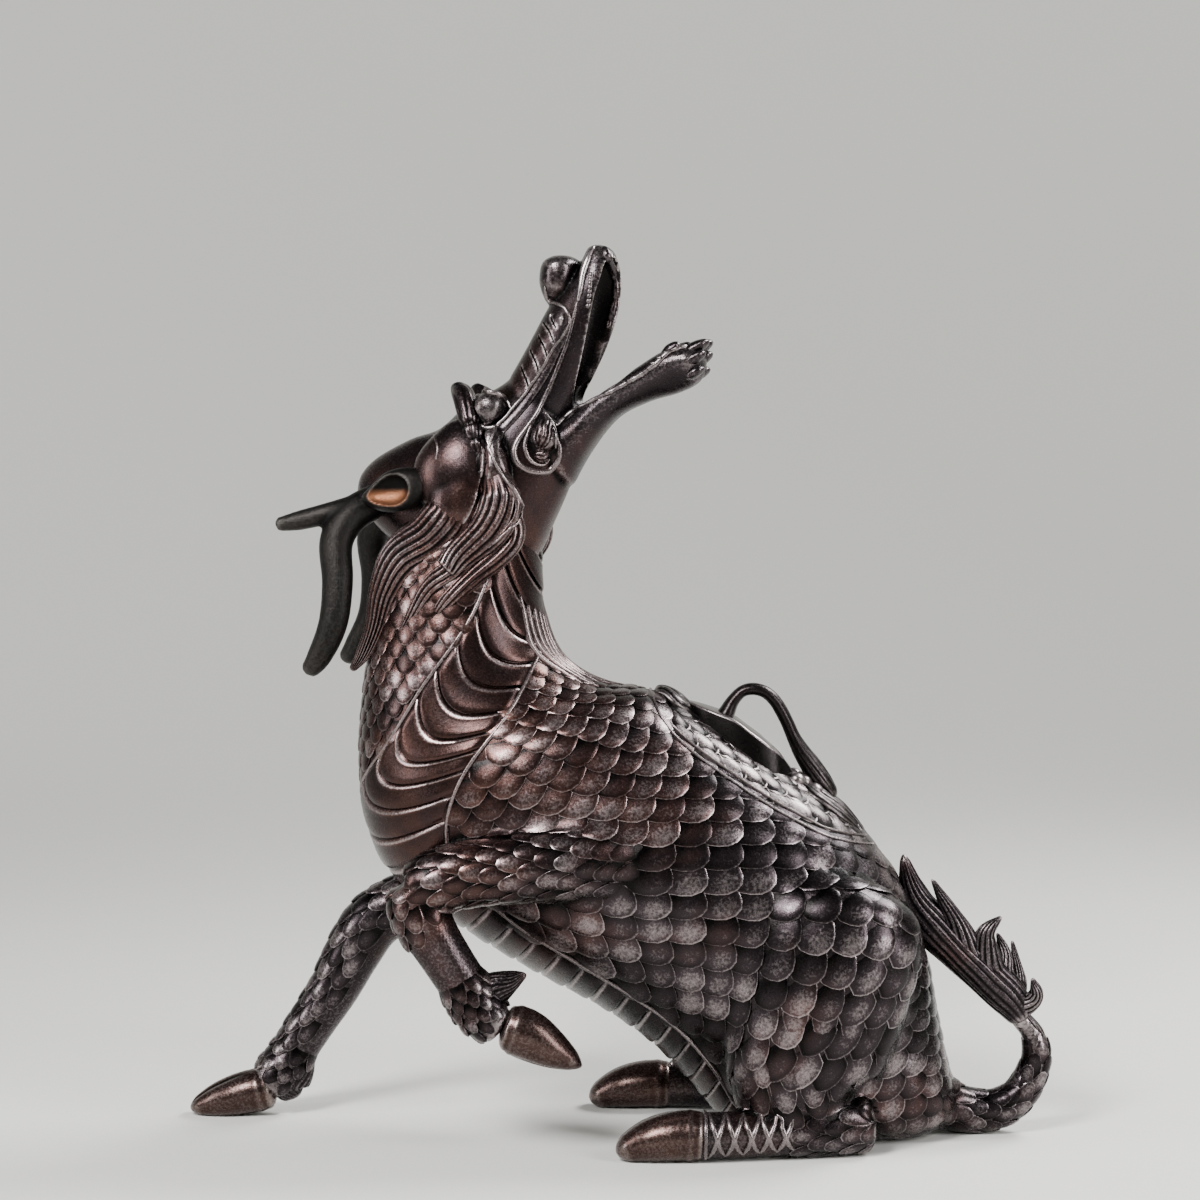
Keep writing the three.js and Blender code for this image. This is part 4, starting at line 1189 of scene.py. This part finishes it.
# Each lobe of the curled lip: where it starts and ends, how far off the middle, its thickness and width.
LIP_LOBES = [
    ((80, 348.5), (87.8, 356.4), 7.5, 3.0, 3.4), ((85.5, 350), (92.2, 356), 3.6, 3.0, 3.8),
    ((86, 348.5), (99.6, 357.4), 3.6, 3.2, 5.4), ((88, 345), (98.8, 352.4), 7.0, 3.0, 4.6),
    ((90, 340.5), (98, 345.4), 5.6, 2.5, 4.4),
]
for low, high, v, thick, wide in LIP_LOBES:
    lobe = [[low[0], v, low[1], thick * 0.7, wide * 0.8],
            [0.5 * (low[0] + high[0]), v, 0.5 * (low[1] + high[1]) + 0.5, thick, wide],
            [high[0], v, high[1], thick * 0.5, wide * 0.7]]
    head_forms(bm, both_sides(lobe), 24, 24, cap=(0.25, 0.16))
for v in (-5.5, -1.8, 1.8, 5.5):
    bead(turn_head([48.5 + 0.2 * abs(v), v, 398.2 - abs(v) * 0.4]), 1.7, (1.0, 1.1, 1.0))
teeth = finished("teeth", bm)

# %% [markdown]
# ## Hooves, spurs and the crossed ribs
# Hooves are smooth and polished by handling. A groove between two toes and a raised collar mark each
# one. The hind shanks carry crossed ribs where the rear foot is braced on the ground.

# %% Model the feet
HIND_HOOF = [
    [38, 52, 10.5, 10.5, 10.5], [25, 52, 10.8, 11, 11.5], [12, 52, 8.6, 9.4, 10.5], [-2, 52, 3.5, 4.5, 6],
]
RIGHT_FORE_HOOF = [
    [-160, 36, 13, 9, 9.5], [-173, 36, 10.5, 10, 10.5], [-187, 36, 6.8, 8, 9.5], [-200, 36, 2.8, 3, 4.8],
]
RIGHT_FORE_SPUR = [
    [-150, 36, 31, 8, 7], [-151.5, 36, 22, 9.5, 8], [-153.5, 36, 13, 8.5, 7], [-151, 36, 7.5, 3.5, 3],
]
LEFT_FORE_HOOF = [
    [-52, -50, 59, 9, 9], [-42, -50, 55.5, 11.2, 10.5], [-30, -50, 48.5, 8.6, 9], [-17, -50, 41, 2.5, 4],
]
LEFT_FORE_SPUR = [
    [-62, -50, 71, 9, 7], [-53, -50, 76, 7.2, 5.5], [-46, -50, 79.5, 4, 3.2], [-41, -50, 81.5, 1, 1.2],
]


def toes(at, deep, collar):
    """The groove between two toes, at a turn round the hoof, and the collar above them."""
    def rise(t, turn):
        off = np.abs((turn - at + math.pi) % (2 * math.pi) - math.pi)
        groove = -deep * np.exp(-(off / 0.13) ** 2) * np.clip((t - 0.25) / 0.3, 0, 1)
        return groove + collar * np.exp(-((t - 0.2) / 0.045) ** 2)

    return rise


bm = bmesh.new()
hind = [on_side(HIND_HOOF, *foot) for foot in HIND_FEET]
forms(bm, hind, 70, 64, cap=(0.1, 0.12), rise=toes(0.0, 0.3, 0.35))
forms(bm, (RIGHT_FORE_HOOF, LEFT_FORE_HOOF), 70, 64, cap=(0.1, 0.12), rise=toes(-0.35, 1.0, 0.4))
hooves = finished("hooves", bm)

# %% Spurs, and the ribs of the hind shanks
bm = bmesh.new()
forms(bm, (RIGHT_FORE_SPUR, LEFT_FORE_SPUR), 40, 64, cap=(0.1, 0.1), rise=grooves(20, 0.9, 0.3))
for side, ahead in HIND_FEET:
    for k in range(5):
        x = 38 + 7.6 * k - ahead
        for low, high in ((x, x + 8), (x + 8, x)):
            path = [[low, side * 52, 22], [low * 0.7 + high * 0.3, side * 61, 16],
                    [low * 0.3 + high * 0.7, side * 62, 6], [high, side * 58, 2]]
            strand(bm, path, [0.5, 1.3, 1.7, 1.1, 0.4], [0.6, 1.2, 1.5, 1.0, 0.5], body_ground, rows=24)
    x = 37 - ahead
    path = [[36 - ahead, side * 46, 21.5], [x, side * 54, 22], [x, side * 61, 15], [x, side * 62, 6],
            [x, side * 58, 1]]
    strand(bm, path, 0.9, 1.0, body_ground, rows=26)
trims = finished("spurs_and_ribs", bm)

# %% [markdown]
# ## The tail's flame
# The tail curls up and ends in flames of hair. The middle flame and the side flames are grooved like
# the locks of the head, with sharp tips.

# %% Model the flame
TAIL_FLAME = [
    [183, 0, 50, 4.5, 5], [176, 0, 62, 9, 7], [165, 0, 73, 9.5, 8], [152, 0, 84, 9, 8],
    [141, 0, 95, 9.5, 7.5], [133, 0, 108, 7, 6], [128, 0, 127, 1.5, 2],
]
FLAME_LOCKS = [
    [(176, 57, 5), (184, 58.5, 4.6), (188, 64, 3.6), (186.2, 71.5, 0.8)],
    [(179, 60, 4.5), (181.5, 68, 3.2), (180, 77, 2.2), (178.2, 87, 0.7)],
    [(171, 66, 7), (166.5, 79, 6.5), (165, 91, 4.6), (172, 99.5, 0.8)],
    [(173, 66, 6), (174.5, 75, 4.5), (174, 83, 3), (171.4, 90.5, 0.7)],
    [(160, 74, 8), (155.5, 88, 6.6), (149, 101, 4.2), (140.6, 116.5, 0.8)],
    [(150, 84, 7), (144, 95, 6), (138, 107, 3.6), (133, 119, 0.7)],
]
TAIL_BACK = [[181, 0, 57, 1, 4], [187, 0, 51, 1.6, 5], [191, 0, 46, 1.4, 4], [193, 0, 40.5, 0.6, 1]]
bm = bmesh.new()
sweep(bm, limb(TAIL_FLAME), 70, 112, cap=(0.05, 0.03), rise=grooves(16, 0.9, 0.5))
for i, lock in enumerate(FLAME_LOCKS):
    lean = 1.5 if i % 2 else -1.5
    stations = [[x, lean * k, z, thick, thick * 0.9] for k, (x, z, thick) in enumerate(lock)]
    sweep(bm, limb(stations), 50, 84, cap=(0.1, 0.03), rise=grooves(12, 0.8, 0.5, start=0.05))
forms(bm, [TAIL_BACK], 30, 48, rise=grooves(8, 0.4))
flame = finished("tail_flame", bm)

# %% [markdown]
# ## The lid
# The lid is a piece of the back with its own flat scales, a leaf that stands on its middle and a bent
# bar for a handle. The lip under it can't be seen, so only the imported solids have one.

# %% Bend the handle
HANDLE = [
    [45.5, 186.5, 4.5], [48.2, 191.5, 3.8], [50.8, 196.4, 3], [55, 200.8, 2.7], [60, 202, 2.8],
    [65.3, 200.6, 2.8], [69.5, 197, 2.9], [72.8, 192, 3], [75.8, 186, 3], [78.4, 180, 3.2],
    [82, 173.5, 4], [86.4, 167, 4.8], [91, 160, 5], [97, 152.5, 3],
]
bm = bmesh.new()
bar = [[x, 0, z, half, half * 1.3] for x, z, half in HANDLE]
sweep(bm, limb(bar), 120, 96, cap=(0.03, 0.03), rise=grooves(14, 0.6, start=0.66))
handle = finished("lid_handle", bm)

# %% [markdown]
# ## Curls round the handle
# A grooved crest stands at the front of the lid. Behind the leaf, small buds and combed locks hide
# the foot of the handle, where the bronze was soldered or pinned.

# %% Model the crest, the locks and the buds
CREST = [[15, 0, 200.5, 3, 6], [19.5, 0, 199.5, 4.4, 10], [25.5, 0, 196, 4.8, 12], [33, 0, 190.5, 3, 8]]
BUDS = [(84, -6, 163), (88, -9, 158), (80, -10, 163), (84, 6, 163), (88, 9, 158), (80, 10, 163)]
bm = bmesh.new()
forms(bm, [CREST], 40, 72, cap=(0.15, 0.15), rise=grooves(9, 1.0))
for lean in (-15, -8, 0, 8, 15):
    path = [[84, lean * 0.6, 168], [92, lean * 1.1, 160], [101, lean * 1.15, 150],
            [112 - 0.3 * abs(lean), lean * 0.7, 139]]
    strand(bm, path, [1.0, 2.4, 2.2, 0.6], [2, 4.4, 3.6, 0.8], body_ground, rows=40, sides=40,
           rise=grooves(8, 0.7))
for place in BUDS:
    spot, up, far = body_ground.rest(place)
    bud = [[*(spot - up * 2), 4, 4], [*(spot + up * 1.5), 3.8, 3.8], [*(spot + up * 4), 2.4, 2.4]]
    forms(bm, [bud], 12, 20, cap=(0.3, 0.3))
curls = finished("lid_curls", bm)

# %% [markdown]
# ## The leaf
# The leaf is a thick plate cast with the lid. It is drawn from above, filled, made thick, and then
# bent to the line of its top. Its edge is bevelled, because hands have rounded it.

# %% Model the leaf
LEAF_TOP = [[32, 196.5], [42, 193], [51, 189.5], [58, 184.5], [66, 178.5], [74, 171.5], [82, 157]]
LEAF_OUTLINE = [[30, 4], [38, 12], [50, 17], [62, 18.5], [73, 15], [83, 2]]
LEAF_THICK = 18
leaf_line = through(LEAF_TOP, np.linspace(0, 1, 80))


def leaf_height(x):
    return float(np.interp(x, leaf_line[:, 0], leaf_line[:, 1]))


bm = bmesh.new()
edge = through(LEAF_OUTLINE, np.linspace(0, 1, 40))
ring = [bm.verts.new((x, y, 0)) for x, y in [*edge, *(edge * (1, -1))[::-1]]]
sides = [bm.edges.new((a, b)) for a, b in zip(ring, ring[1:] + ring[:1])]
bmesh.ops.triangle_fill(bm, edges=sides, use_beauty=True)
raised = set(points_of(bmesh.ops.extrude_face_region(bm, geom=list(bm.faces))["geom"]))
for v in bm.verts:
    x, y, z = v.co
    v.co = placed([x, y, leaf_height(x)] if v in raised else [x, y * 1.08, leaf_height(x) - LEAF_THICK])
bmesh.ops.recalc_face_normals(bm, faces=bm.faces)
rim = [e for e in bm.edges if all(v in raised for v in e.verts) and len(e.link_faces) == 2
       and e.calc_face_angle(0) > 0.6]
bmesh.ops.bevel(bm, geom=rim, offset=1.2 * MM, affect="EDGES", segments=3, profile=0.5, material=-1)
leaf_wear = bm.verts.layers.float.new("wear_and_painted_light")
for v in bm.verts:
    x, y, z = on_drawing(v.co)
    deep = leaf_height(x) - z
    v[leaf_wear] = 0.34 if deep > 1.0 else 0.95 if deep > 0.1 else 0.6
leaf = finished("lid_leaf", bm, sharp=50)

# %% [markdown]
# ## The lid's scales
# The scales of the lid are flatter and wider. Each has a chased line inside its edge and a low bulge
# in the middle. They grow from the same grid as the trunk's, but with steps of their own.

# %% Lay the lid's scales
RING_IN, RING_OUT = 0.66, 0.95  # the chased line, in shares of a scale's half-width


def ringed(u, s, edge):
    r = max(abs(u), abs(2 * s - 1))
    ring = RING_IN < r < RING_OUT
    dome = max(0.0, 1 - (r / RING_IN) ** 2)
    z = 0.4 + 0.55 * s + 0.4 * dome - (0.35 if ring else 0.15 if edge else 0)
    # The edge and the middle bulge get more wear, partly rubbing and partly painted highlight; the chased
    # line stays dark like other hollows.
    return u, s * (1 - 0.42 * abs(u) ** 2.4), z, 0.2 if ring else 0.44 + 0.2 * dome if r < 0.7 else 0.75


def over_seam(q):
    """Moves a point that would hang under the seam's line up over it."""
    for _ in range(3):
        under = seam_height(q[0]) + 1.2 - q[2]
        if under > 0:
            q = q + np.array([0.35, 0, 0.95]) * under
    return q


LID_GROWTH = [14.0, 10.5, 8.5]  # angle of growth, scale width and step between rows
LID_PART = slice(18, 50)  # the rows of the trunk's grid that the lid is in
growth = np.array(LID_GROWTH) * np.ones((len(grid_t[LID_PART]), GRID_ROUND, 1))
lid_lattice = lattice(grid[LID_PART], grid_t[LID_PART], grid_a, growth)
lid_coat = Coat(23)
RINGED = bend(10, 9, ringed)
for p, beside, onward, t, degrees in on_both_flanks(lid_lattice):
    if 22 < p[0] < 128 and p[2] >= seam_height(p[0]) - 1.5:
        lid_coat.lay(p, beside, onward, height=1.1, seat=over_seam, low=by_seam, kind=RINGED, limit=1.6)
lid_scales = lid_coat.finished("lid_scales")
print(lid_coat.count, "scales on the lid")

# %% [markdown]
# ## The lid's worn front edge
# The front of the lid sits a little under the vessel's mouth on the original, where it has been
# lifted off by its edge for centuries. The shell, its rim and its scales are lowered there together.

# %% Lower the lid's front edge
FRONT_ENDS, FRONT_RUN, FRONT_DROP = 25.0, 9.0, 4.5
FRONT_LOW, FRONT_RISE = 165, 15
for piece in (crown, lid_rim, lid_scales):
    for v in piece.data.vertices:
        x, y, z = on_drawing(v.co)
        v.co.z -= FRONT_DROP * ease((FRONT_ENDS - x) / FRONT_RUN) * ease((z - FRONT_LOW) / FRONT_RISE) * MM

# %% [markdown]
# ## How worn each place is
# Old bronze is dark in its hollows and rubbed bright on its ridges. The shader has to know
# which is which, so every point gets a number: how far it stands out from its neighbours. It is
# measured on the finished mesh, and smoothed a little so that single points don't sparkle. Scales,
# plates and the leaf bring their own number instead, and on scales and plates it also holds painted
# highlight and painted shade.

# %% Measure the ridges and hollows
def note_wear(piece, reach=1.0, rounds=2):
    """Gives each point its number for rubbing, from its relief, unless the piece brought its own, which on
    scales and plates also holds painted highlight and painted shade.
    """
    mesh = piece.data
    n = len(mesh.vertices)
    if "wear_and_painted_light" in mesh.attributes:
        known = np.empty(n, np.float32)
        mesh.attributes["wear_and_painted_light"].data.foreach_get("value", known)
        return known
    co, normal = np.empty(n * 3), np.empty(n * 3)
    mesh.vertices.foreach_get("co", co)
    mesh.vertex_normals.foreach_get("vector", normal)
    co, normal = co.reshape(-1, 3), normal.reshape(-1, 3)
    pairs = np.empty(len(mesh.edges) * 2, int)
    mesh.edges.foreach_get("vertices", pairs)
    a, b = pairs.reshape(-1, 2).T
    count = np.bincount(a, minlength=n) + np.bincount(b, minlength=n)

    def mean(values):
        return (np.bincount(a, values[b], n) + np.bincount(b, values[a], n)) / np.maximum(count, 1)

    long = np.linalg.norm(co[a] - co[b], axis=1)
    scale = (np.bincount(a, long, n) + np.bincount(b, long, n)) / np.maximum(count, 1)
    around = np.stack([mean(co[:, k]) for k in range(3)], -1)
    out = ((co - around) * normal).sum(-1) / np.maximum(scale, 1e-6)
    for _ in range(rounds):
        out = (out + mean(out)) / 2
    wear_and_painted_light = np.clip(0.4 + out * 3 * reach, 0, 1)
    layer = mesh.attributes.new("wear_and_painted_light", "FLOAT", "POINT")
    layer.data.foreach_set("value", wear_and_painted_light.astype(np.float32))
    return wear_and_painted_light


bronze_pieces = [trunk, mouth_rim, trunk_scales, limb_scales, plates, border, mane, head, locks, horns, ears,
                 face_lines, teeth, hooves, trims, flame]
lid_pieces = [crown, lid_rim, handle, curls, leaf, lid_scales]
for piece in bronze_pieces + lid_pieces:
    wear_and_painted_light = note_wear(piece, 0.45 if piece in (face_lines, mane, trims) else 0.25 if piece is teeth else 1.0)
    print(piece.name, len(piece.data.polygons), "faces, wear", round(float(wear_and_painted_light.mean()), 3))

# %% [markdown]
# ## Bronze
# The patina is a thin brown skin over metal. It stays dark and reddish in the hollows, and where
# hands and cloths have rubbed it the metal shows through as a pale, slightly pink silver. So the
# colour goes by the wear number, broken up by noise, while the metal itself stays one. On scales and
# plates that number also holds painted light: painted highlight on crests and rims, painted shade
# under the edges and at the roots.

# %% Helpers for materials
def colour(text):
    parts = [int(text[k:k + 2], 16) / 255 for k in (0, 2, 4)]
    return tuple(c / 12.92 if c <= 0.04045 else ((c + 0.055) / 1.055) ** 2.4 for c in parts) + (1.0,)


def add(tree, kind, settings=()):
    """Adds a node. A setting is a property, an input's value, or the output that an input is linked to."""
    made = tree.nodes.new("ShaderNode" + kind)
    for key, value in dict(settings).items():
        if isinstance(value, bpy.types.NodeSocket):
            tree.links.new(value, made.inputs[key])
        elif isinstance(key, str) and hasattr(made, key):
            setattr(made, key, value)
        else:
            made.inputs[key].default_value = value
    return made


def spread(tree, value, low, high, to_low=0.0, to_high=1.0, kind="LINEAR"):
    """Carries one range of a value over to another one."""
    settings = {"interpolation_type": kind, "From Min": low, "From Max": high, "To Min": to_low,
                "To Max": to_high, "Value": value}
    return add(tree, "MapRange", settings).outputs[0]


def reckon(tree, operation, *values):
    return add(tree, "Math", {"operation": operation, **dict(enumerate(values))}).outputs[0]


def mix(tree, share, below, above):
    return add(tree, "Mix", {"data_type": "RGBA", 0: share, 6: below, 7: colour(above)}).outputs[2]


def noise(tree, place, scale, detail, roughness):
    settings = {"Scale": scale, "Detail": detail, "Roughness": roughness, "Vector": place}
    return add(tree, "TexNoise", settings).outputs["Fac"]

# %% Mix the bronze
CHEST = (-0.075, -0.03, 0.2)  # hands and cloths bring out more copper here
EAR_RED = "8c5c41"


def bronze(name, hollow, body, copper, worn_and_painted_light, copper_share=0.35, worn_share=0.6, rough=(0.2, 0.34),
           relief=0.2):
    """Colours go from the hollow's, which is also painted shade, to the rubbed metal's, which is also painted
    highlight, by the number for rubbing and painted light, with patches of copper between.
    """
    made = bpy.data.materials.new(name)
    made.use_nodes = True
    tree = made.node_tree
    place = add(tree, "TexCoord").outputs["Object"]
    wear_and_painted_light, tone, blush = (add(tree, "Attribute", {"attribute_name": layer}).outputs["Fac"]
                         for layer in ("wear_and_painted_light", "tone", "blush"))
    clouds, grain, spots = (noise(tree, place, *values)
                            for values in ((22.0, 6.0, 0.62), (800.0, 4.0, 0.7), (130.0, 3.0, 0.5)))
    chest = add(tree, "VectorMath", {"operation": "DISTANCE", 0: place, 1: CHEST}).outputs["Value"]
    clouds = reckon(tree, "ADD", clouds, spread(tree, chest, 0.04, 0.15, 0.3, 0.0))
    patch = spread(tree, clouds, 0.52, 0.8, 0.0, copper_share * 2)
    base = mix(tree, reckon(tree, "MULTIPLY", patch, spots), colour(body), copper)
    # Low numbers take the hollow colour: patina in real hollows, and painted shade at the roots and folded
    # edges of scales and plates.
    base = mix(tree, spread(tree, wear_and_painted_light, 0.5, 0.3), base, hollow)
    # High numbers, with grain, take the rubbed metal colour: real rubbing on ridges, and painted highlight on
    # the crests and rims of scales and plates.
    rub_and_painted_light = reckon(tree, "ADD", wear_and_painted_light, reckon(tree, "MULTIPLY_ADD", grain, 0.42, -0.21))
    base = mix(tree, spread(tree, rub_and_painted_light, 0.48, 0.95, 0.0, worn_share), base, worn_and_painted_light)
    base = mix(tree, blush, base, EAR_RED)
    shade = spread(tree, tone, 0.0, 1.0, 0.84, 1.2)
    base = add(tree, "VectorMath", {"operation": "SCALE", 0: base, "Scale": shade}).outputs[0]
    bumps = add(tree, "Bump", {"Strength": relief, "Distance": 0.0004, "Height": grain}).outputs[0]
    shader = tree.nodes["Principled BSDF"]
    tree.links.new(base, shader.inputs["Base Color"])
    tree.links.new(spread(tree, grain, 0.3, 0.7, *rough), shader.inputs["Roughness"])
    tree.links.new(bumps, shader.inputs["Normal"])
    shader.inputs["Metallic"].default_value = 0.9
    print(name, len(tree.nodes), "nodes")
    return made


# The body was cast, chased and patinated brown, then handled for a long time: satin, with bare ridges.
body_bronze = bronze("patinated bronze", "0b0808", "30292c", "6c4538", "d6c9c9", copper_share=0.3,
                     worn_share=0.68)
# The lid stands up to dust and hands more than the rest, so its patina is thin, grey and pale.
lid_bronze = bronze("rubbed lid bronze", "0e0b0b", "2a2425", "553f39", "c6bab9", copper_share=0.15,
                    worn_share=0.46, rough=(0.24, 0.36))
# Hooves are filed smooth and polished by the table and by hands: their bronze is lighter and redder.
hoof_bronze = bronze("polished hoof bronze", "140b09", "43322f", "694a3e", "d2c2bc")
# Horns were left rough from the mould, which scatters the light: nearly black and dull.
horn_bronze = bronze("rough horn bronze", "080707", "151413", "2c2624", "7c7874", worn_share=0.36,
                     rough=(0.4, 0.56), relief=0.5)

# %% Give each piece its bronze, its body and its node
own_bronze = {"hooves": hoof_bronze, "horns": horn_bronze, "ears": horn_bronze}
for piece in bronze_pieces:
    piece.data.materials.clear()
    piece.data.materials.append(own_bronze.get(piece.name, body_bronze))
    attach(piece, "root")
    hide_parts("figure")
for piece in lid_pieces:
    piece.data.materials.clear()
    piece.data.materials.append(lid_bronze)
    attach(piece, "root")
    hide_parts("lid")

# %% [markdown]
# ## Light and camera
# A round sheet of pale paper turns up far out on every side, so the ground looks plain from any
# angle. One soft light stands in front and above, a narrower one grazes the back from the right,
# and a weak one fills the left. A studio also lights its background: here the far paper glows a
# little itself, which costs no extra lamps, and only what lies behind the figure lights it too.

# %% Turn up the paper
PAPER_REACH, PAPER_HIGH, PAPER_BEND = 3.0, 2.6, 1.1  # metres
bm = bmesh.new()
bmesh.ops.create_circle(bm, cap_ends=True, segments=96, radius=PAPER_REACH)
around = list(bm.edges)
up = bmesh.ops.extrude_edge_only(bm, edges=around)["geom"]
bmesh.ops.translate(bm, vec=(0, 0, PAPER_HIGH), verts=points_of(up))
bmesh.ops.bevel(bm, geom=around, offset=PAPER_BEND, segments=16, profile=0.5, affect="EDGES", material=-1)
bmesh.ops.recalc_face_normals(bm, faces=bm.faces)
if min(bm.faces, key=lambda f: f.calc_center_median().z).normal.z < 0:
    bmesh.ops.reverse_faces(bm, faces=bm.faces)
for f in bm.faces:
    f.smooth = f.calc_center_median().z > 0.0001
mesh = bpy.data.meshes.new("studio_sheet")
bm.to_mesh(mesh)
bm.free()
sheet = bpy.data.objects.new("studio_sheet", mesh)
bpy.context.scene.collection.objects.link(sheet)
# Matt paper scatters light evenly, so it is fully rough and has almost no shine.
paper = bpy.data.materials.new("matt paper")
paper.use_nodes = True
tree = paper.node_tree
shader = tree.nodes["Principled BSDF"]
shader.inputs["Base Color"].default_value = shader.inputs["Emission Color"].default_value = colour("c9c8c4")
shader.inputs["Roughness"].default_value = 0.9
# The paper's glow is painted light standing in for the studio's background lamps: in its own colour, it grows
# with distance from the figure for camera rays only, and behind the figure for every ray.
place = add(tree, "TexCoord").outputs["Object"]
apart = add(tree, "VectorMath", {"operation": "LENGTH", 0: place}).outputs["Value"]
seen = add(tree, "LightPath").outputs["Is Camera Ray"]
far = reckon(tree, "MULTIPLY", spread(tree, apart, 0.6, 2.2, kind="SMOOTHSTEP"), seen)
behind = add(tree, "SeparateXYZ", {0: place}).outputs["Y"]
back = spread(tree, behind, 0.5, 1.9, kind="SMOOTHSTEP")
glow = reckon(tree, "MULTIPLY", reckon(tree, "MAXIMUM", far, back), 0.62)
tree.links.new(glow, shader.inputs["Emission Strength"])
sheet.data.materials.append(paper)
print("paper", len(mesh.polygons), "faces")

# %% Set up the lamps and the camera
def light(name, place, aim, size, watts):
    data = bpy.data.lights.new(name, "AREA")
    data.shape = "RECTANGLE"
    data.size, data.size_y = size
    data.energy = watts
    made = bpy.data.objects.new(name, data)
    made.location = place
    made.rotation_euler = (Vector(aim) - Vector(place)).to_track_quat("-Z", "Y").to_euler()
    made.visible_camera = False  # the lamps stay out of every picture
    bpy.context.scene.collection.objects.link(made)


light("key_softbox", (-0.55, -0.95, 1.05), (0.0, 0.0, 0.2), (0.4, 0.4), 36)
light("top_right", (0.75, 0.35, 1.0), (0.05, 0.0, 0.2), (0.5, 0.4), 26)
light("left_strip", (-1.1, -0.45, 0.5), (-0.05, 0.0, 0.2), (0.25, 0.6), 8)
light("right_strip", (0.95, -0.7, 0.55), (0.05, 0.0, 0.2), (0.2, 0.8), 15)
world = bpy.data.worlds.new("studio")
world.use_nodes = True
world.node_tree.nodes["Background"].inputs["Color"].default_value = colour("dfe3e6")
world.node_tree.nodes["Background"].inputs["Strength"].default_value = 0.12
bpy.context.scene.world = world

data = bpy.data.cameras.new("camera")
data.lens, data.sensor_width = 86.7, 36.0
camera = bpy.data.objects.new("camera", data)
camera.location = placed(AIM) + Vector((0, -math.cos(TILT), math.sin(TILT))) * 1.3  # metres
camera.rotation_euler = (math.pi / 2 - TILT, 0, 0)
bpy.context.scene.collection.objects.link(camera)
bpy.context.scene.camera = camera
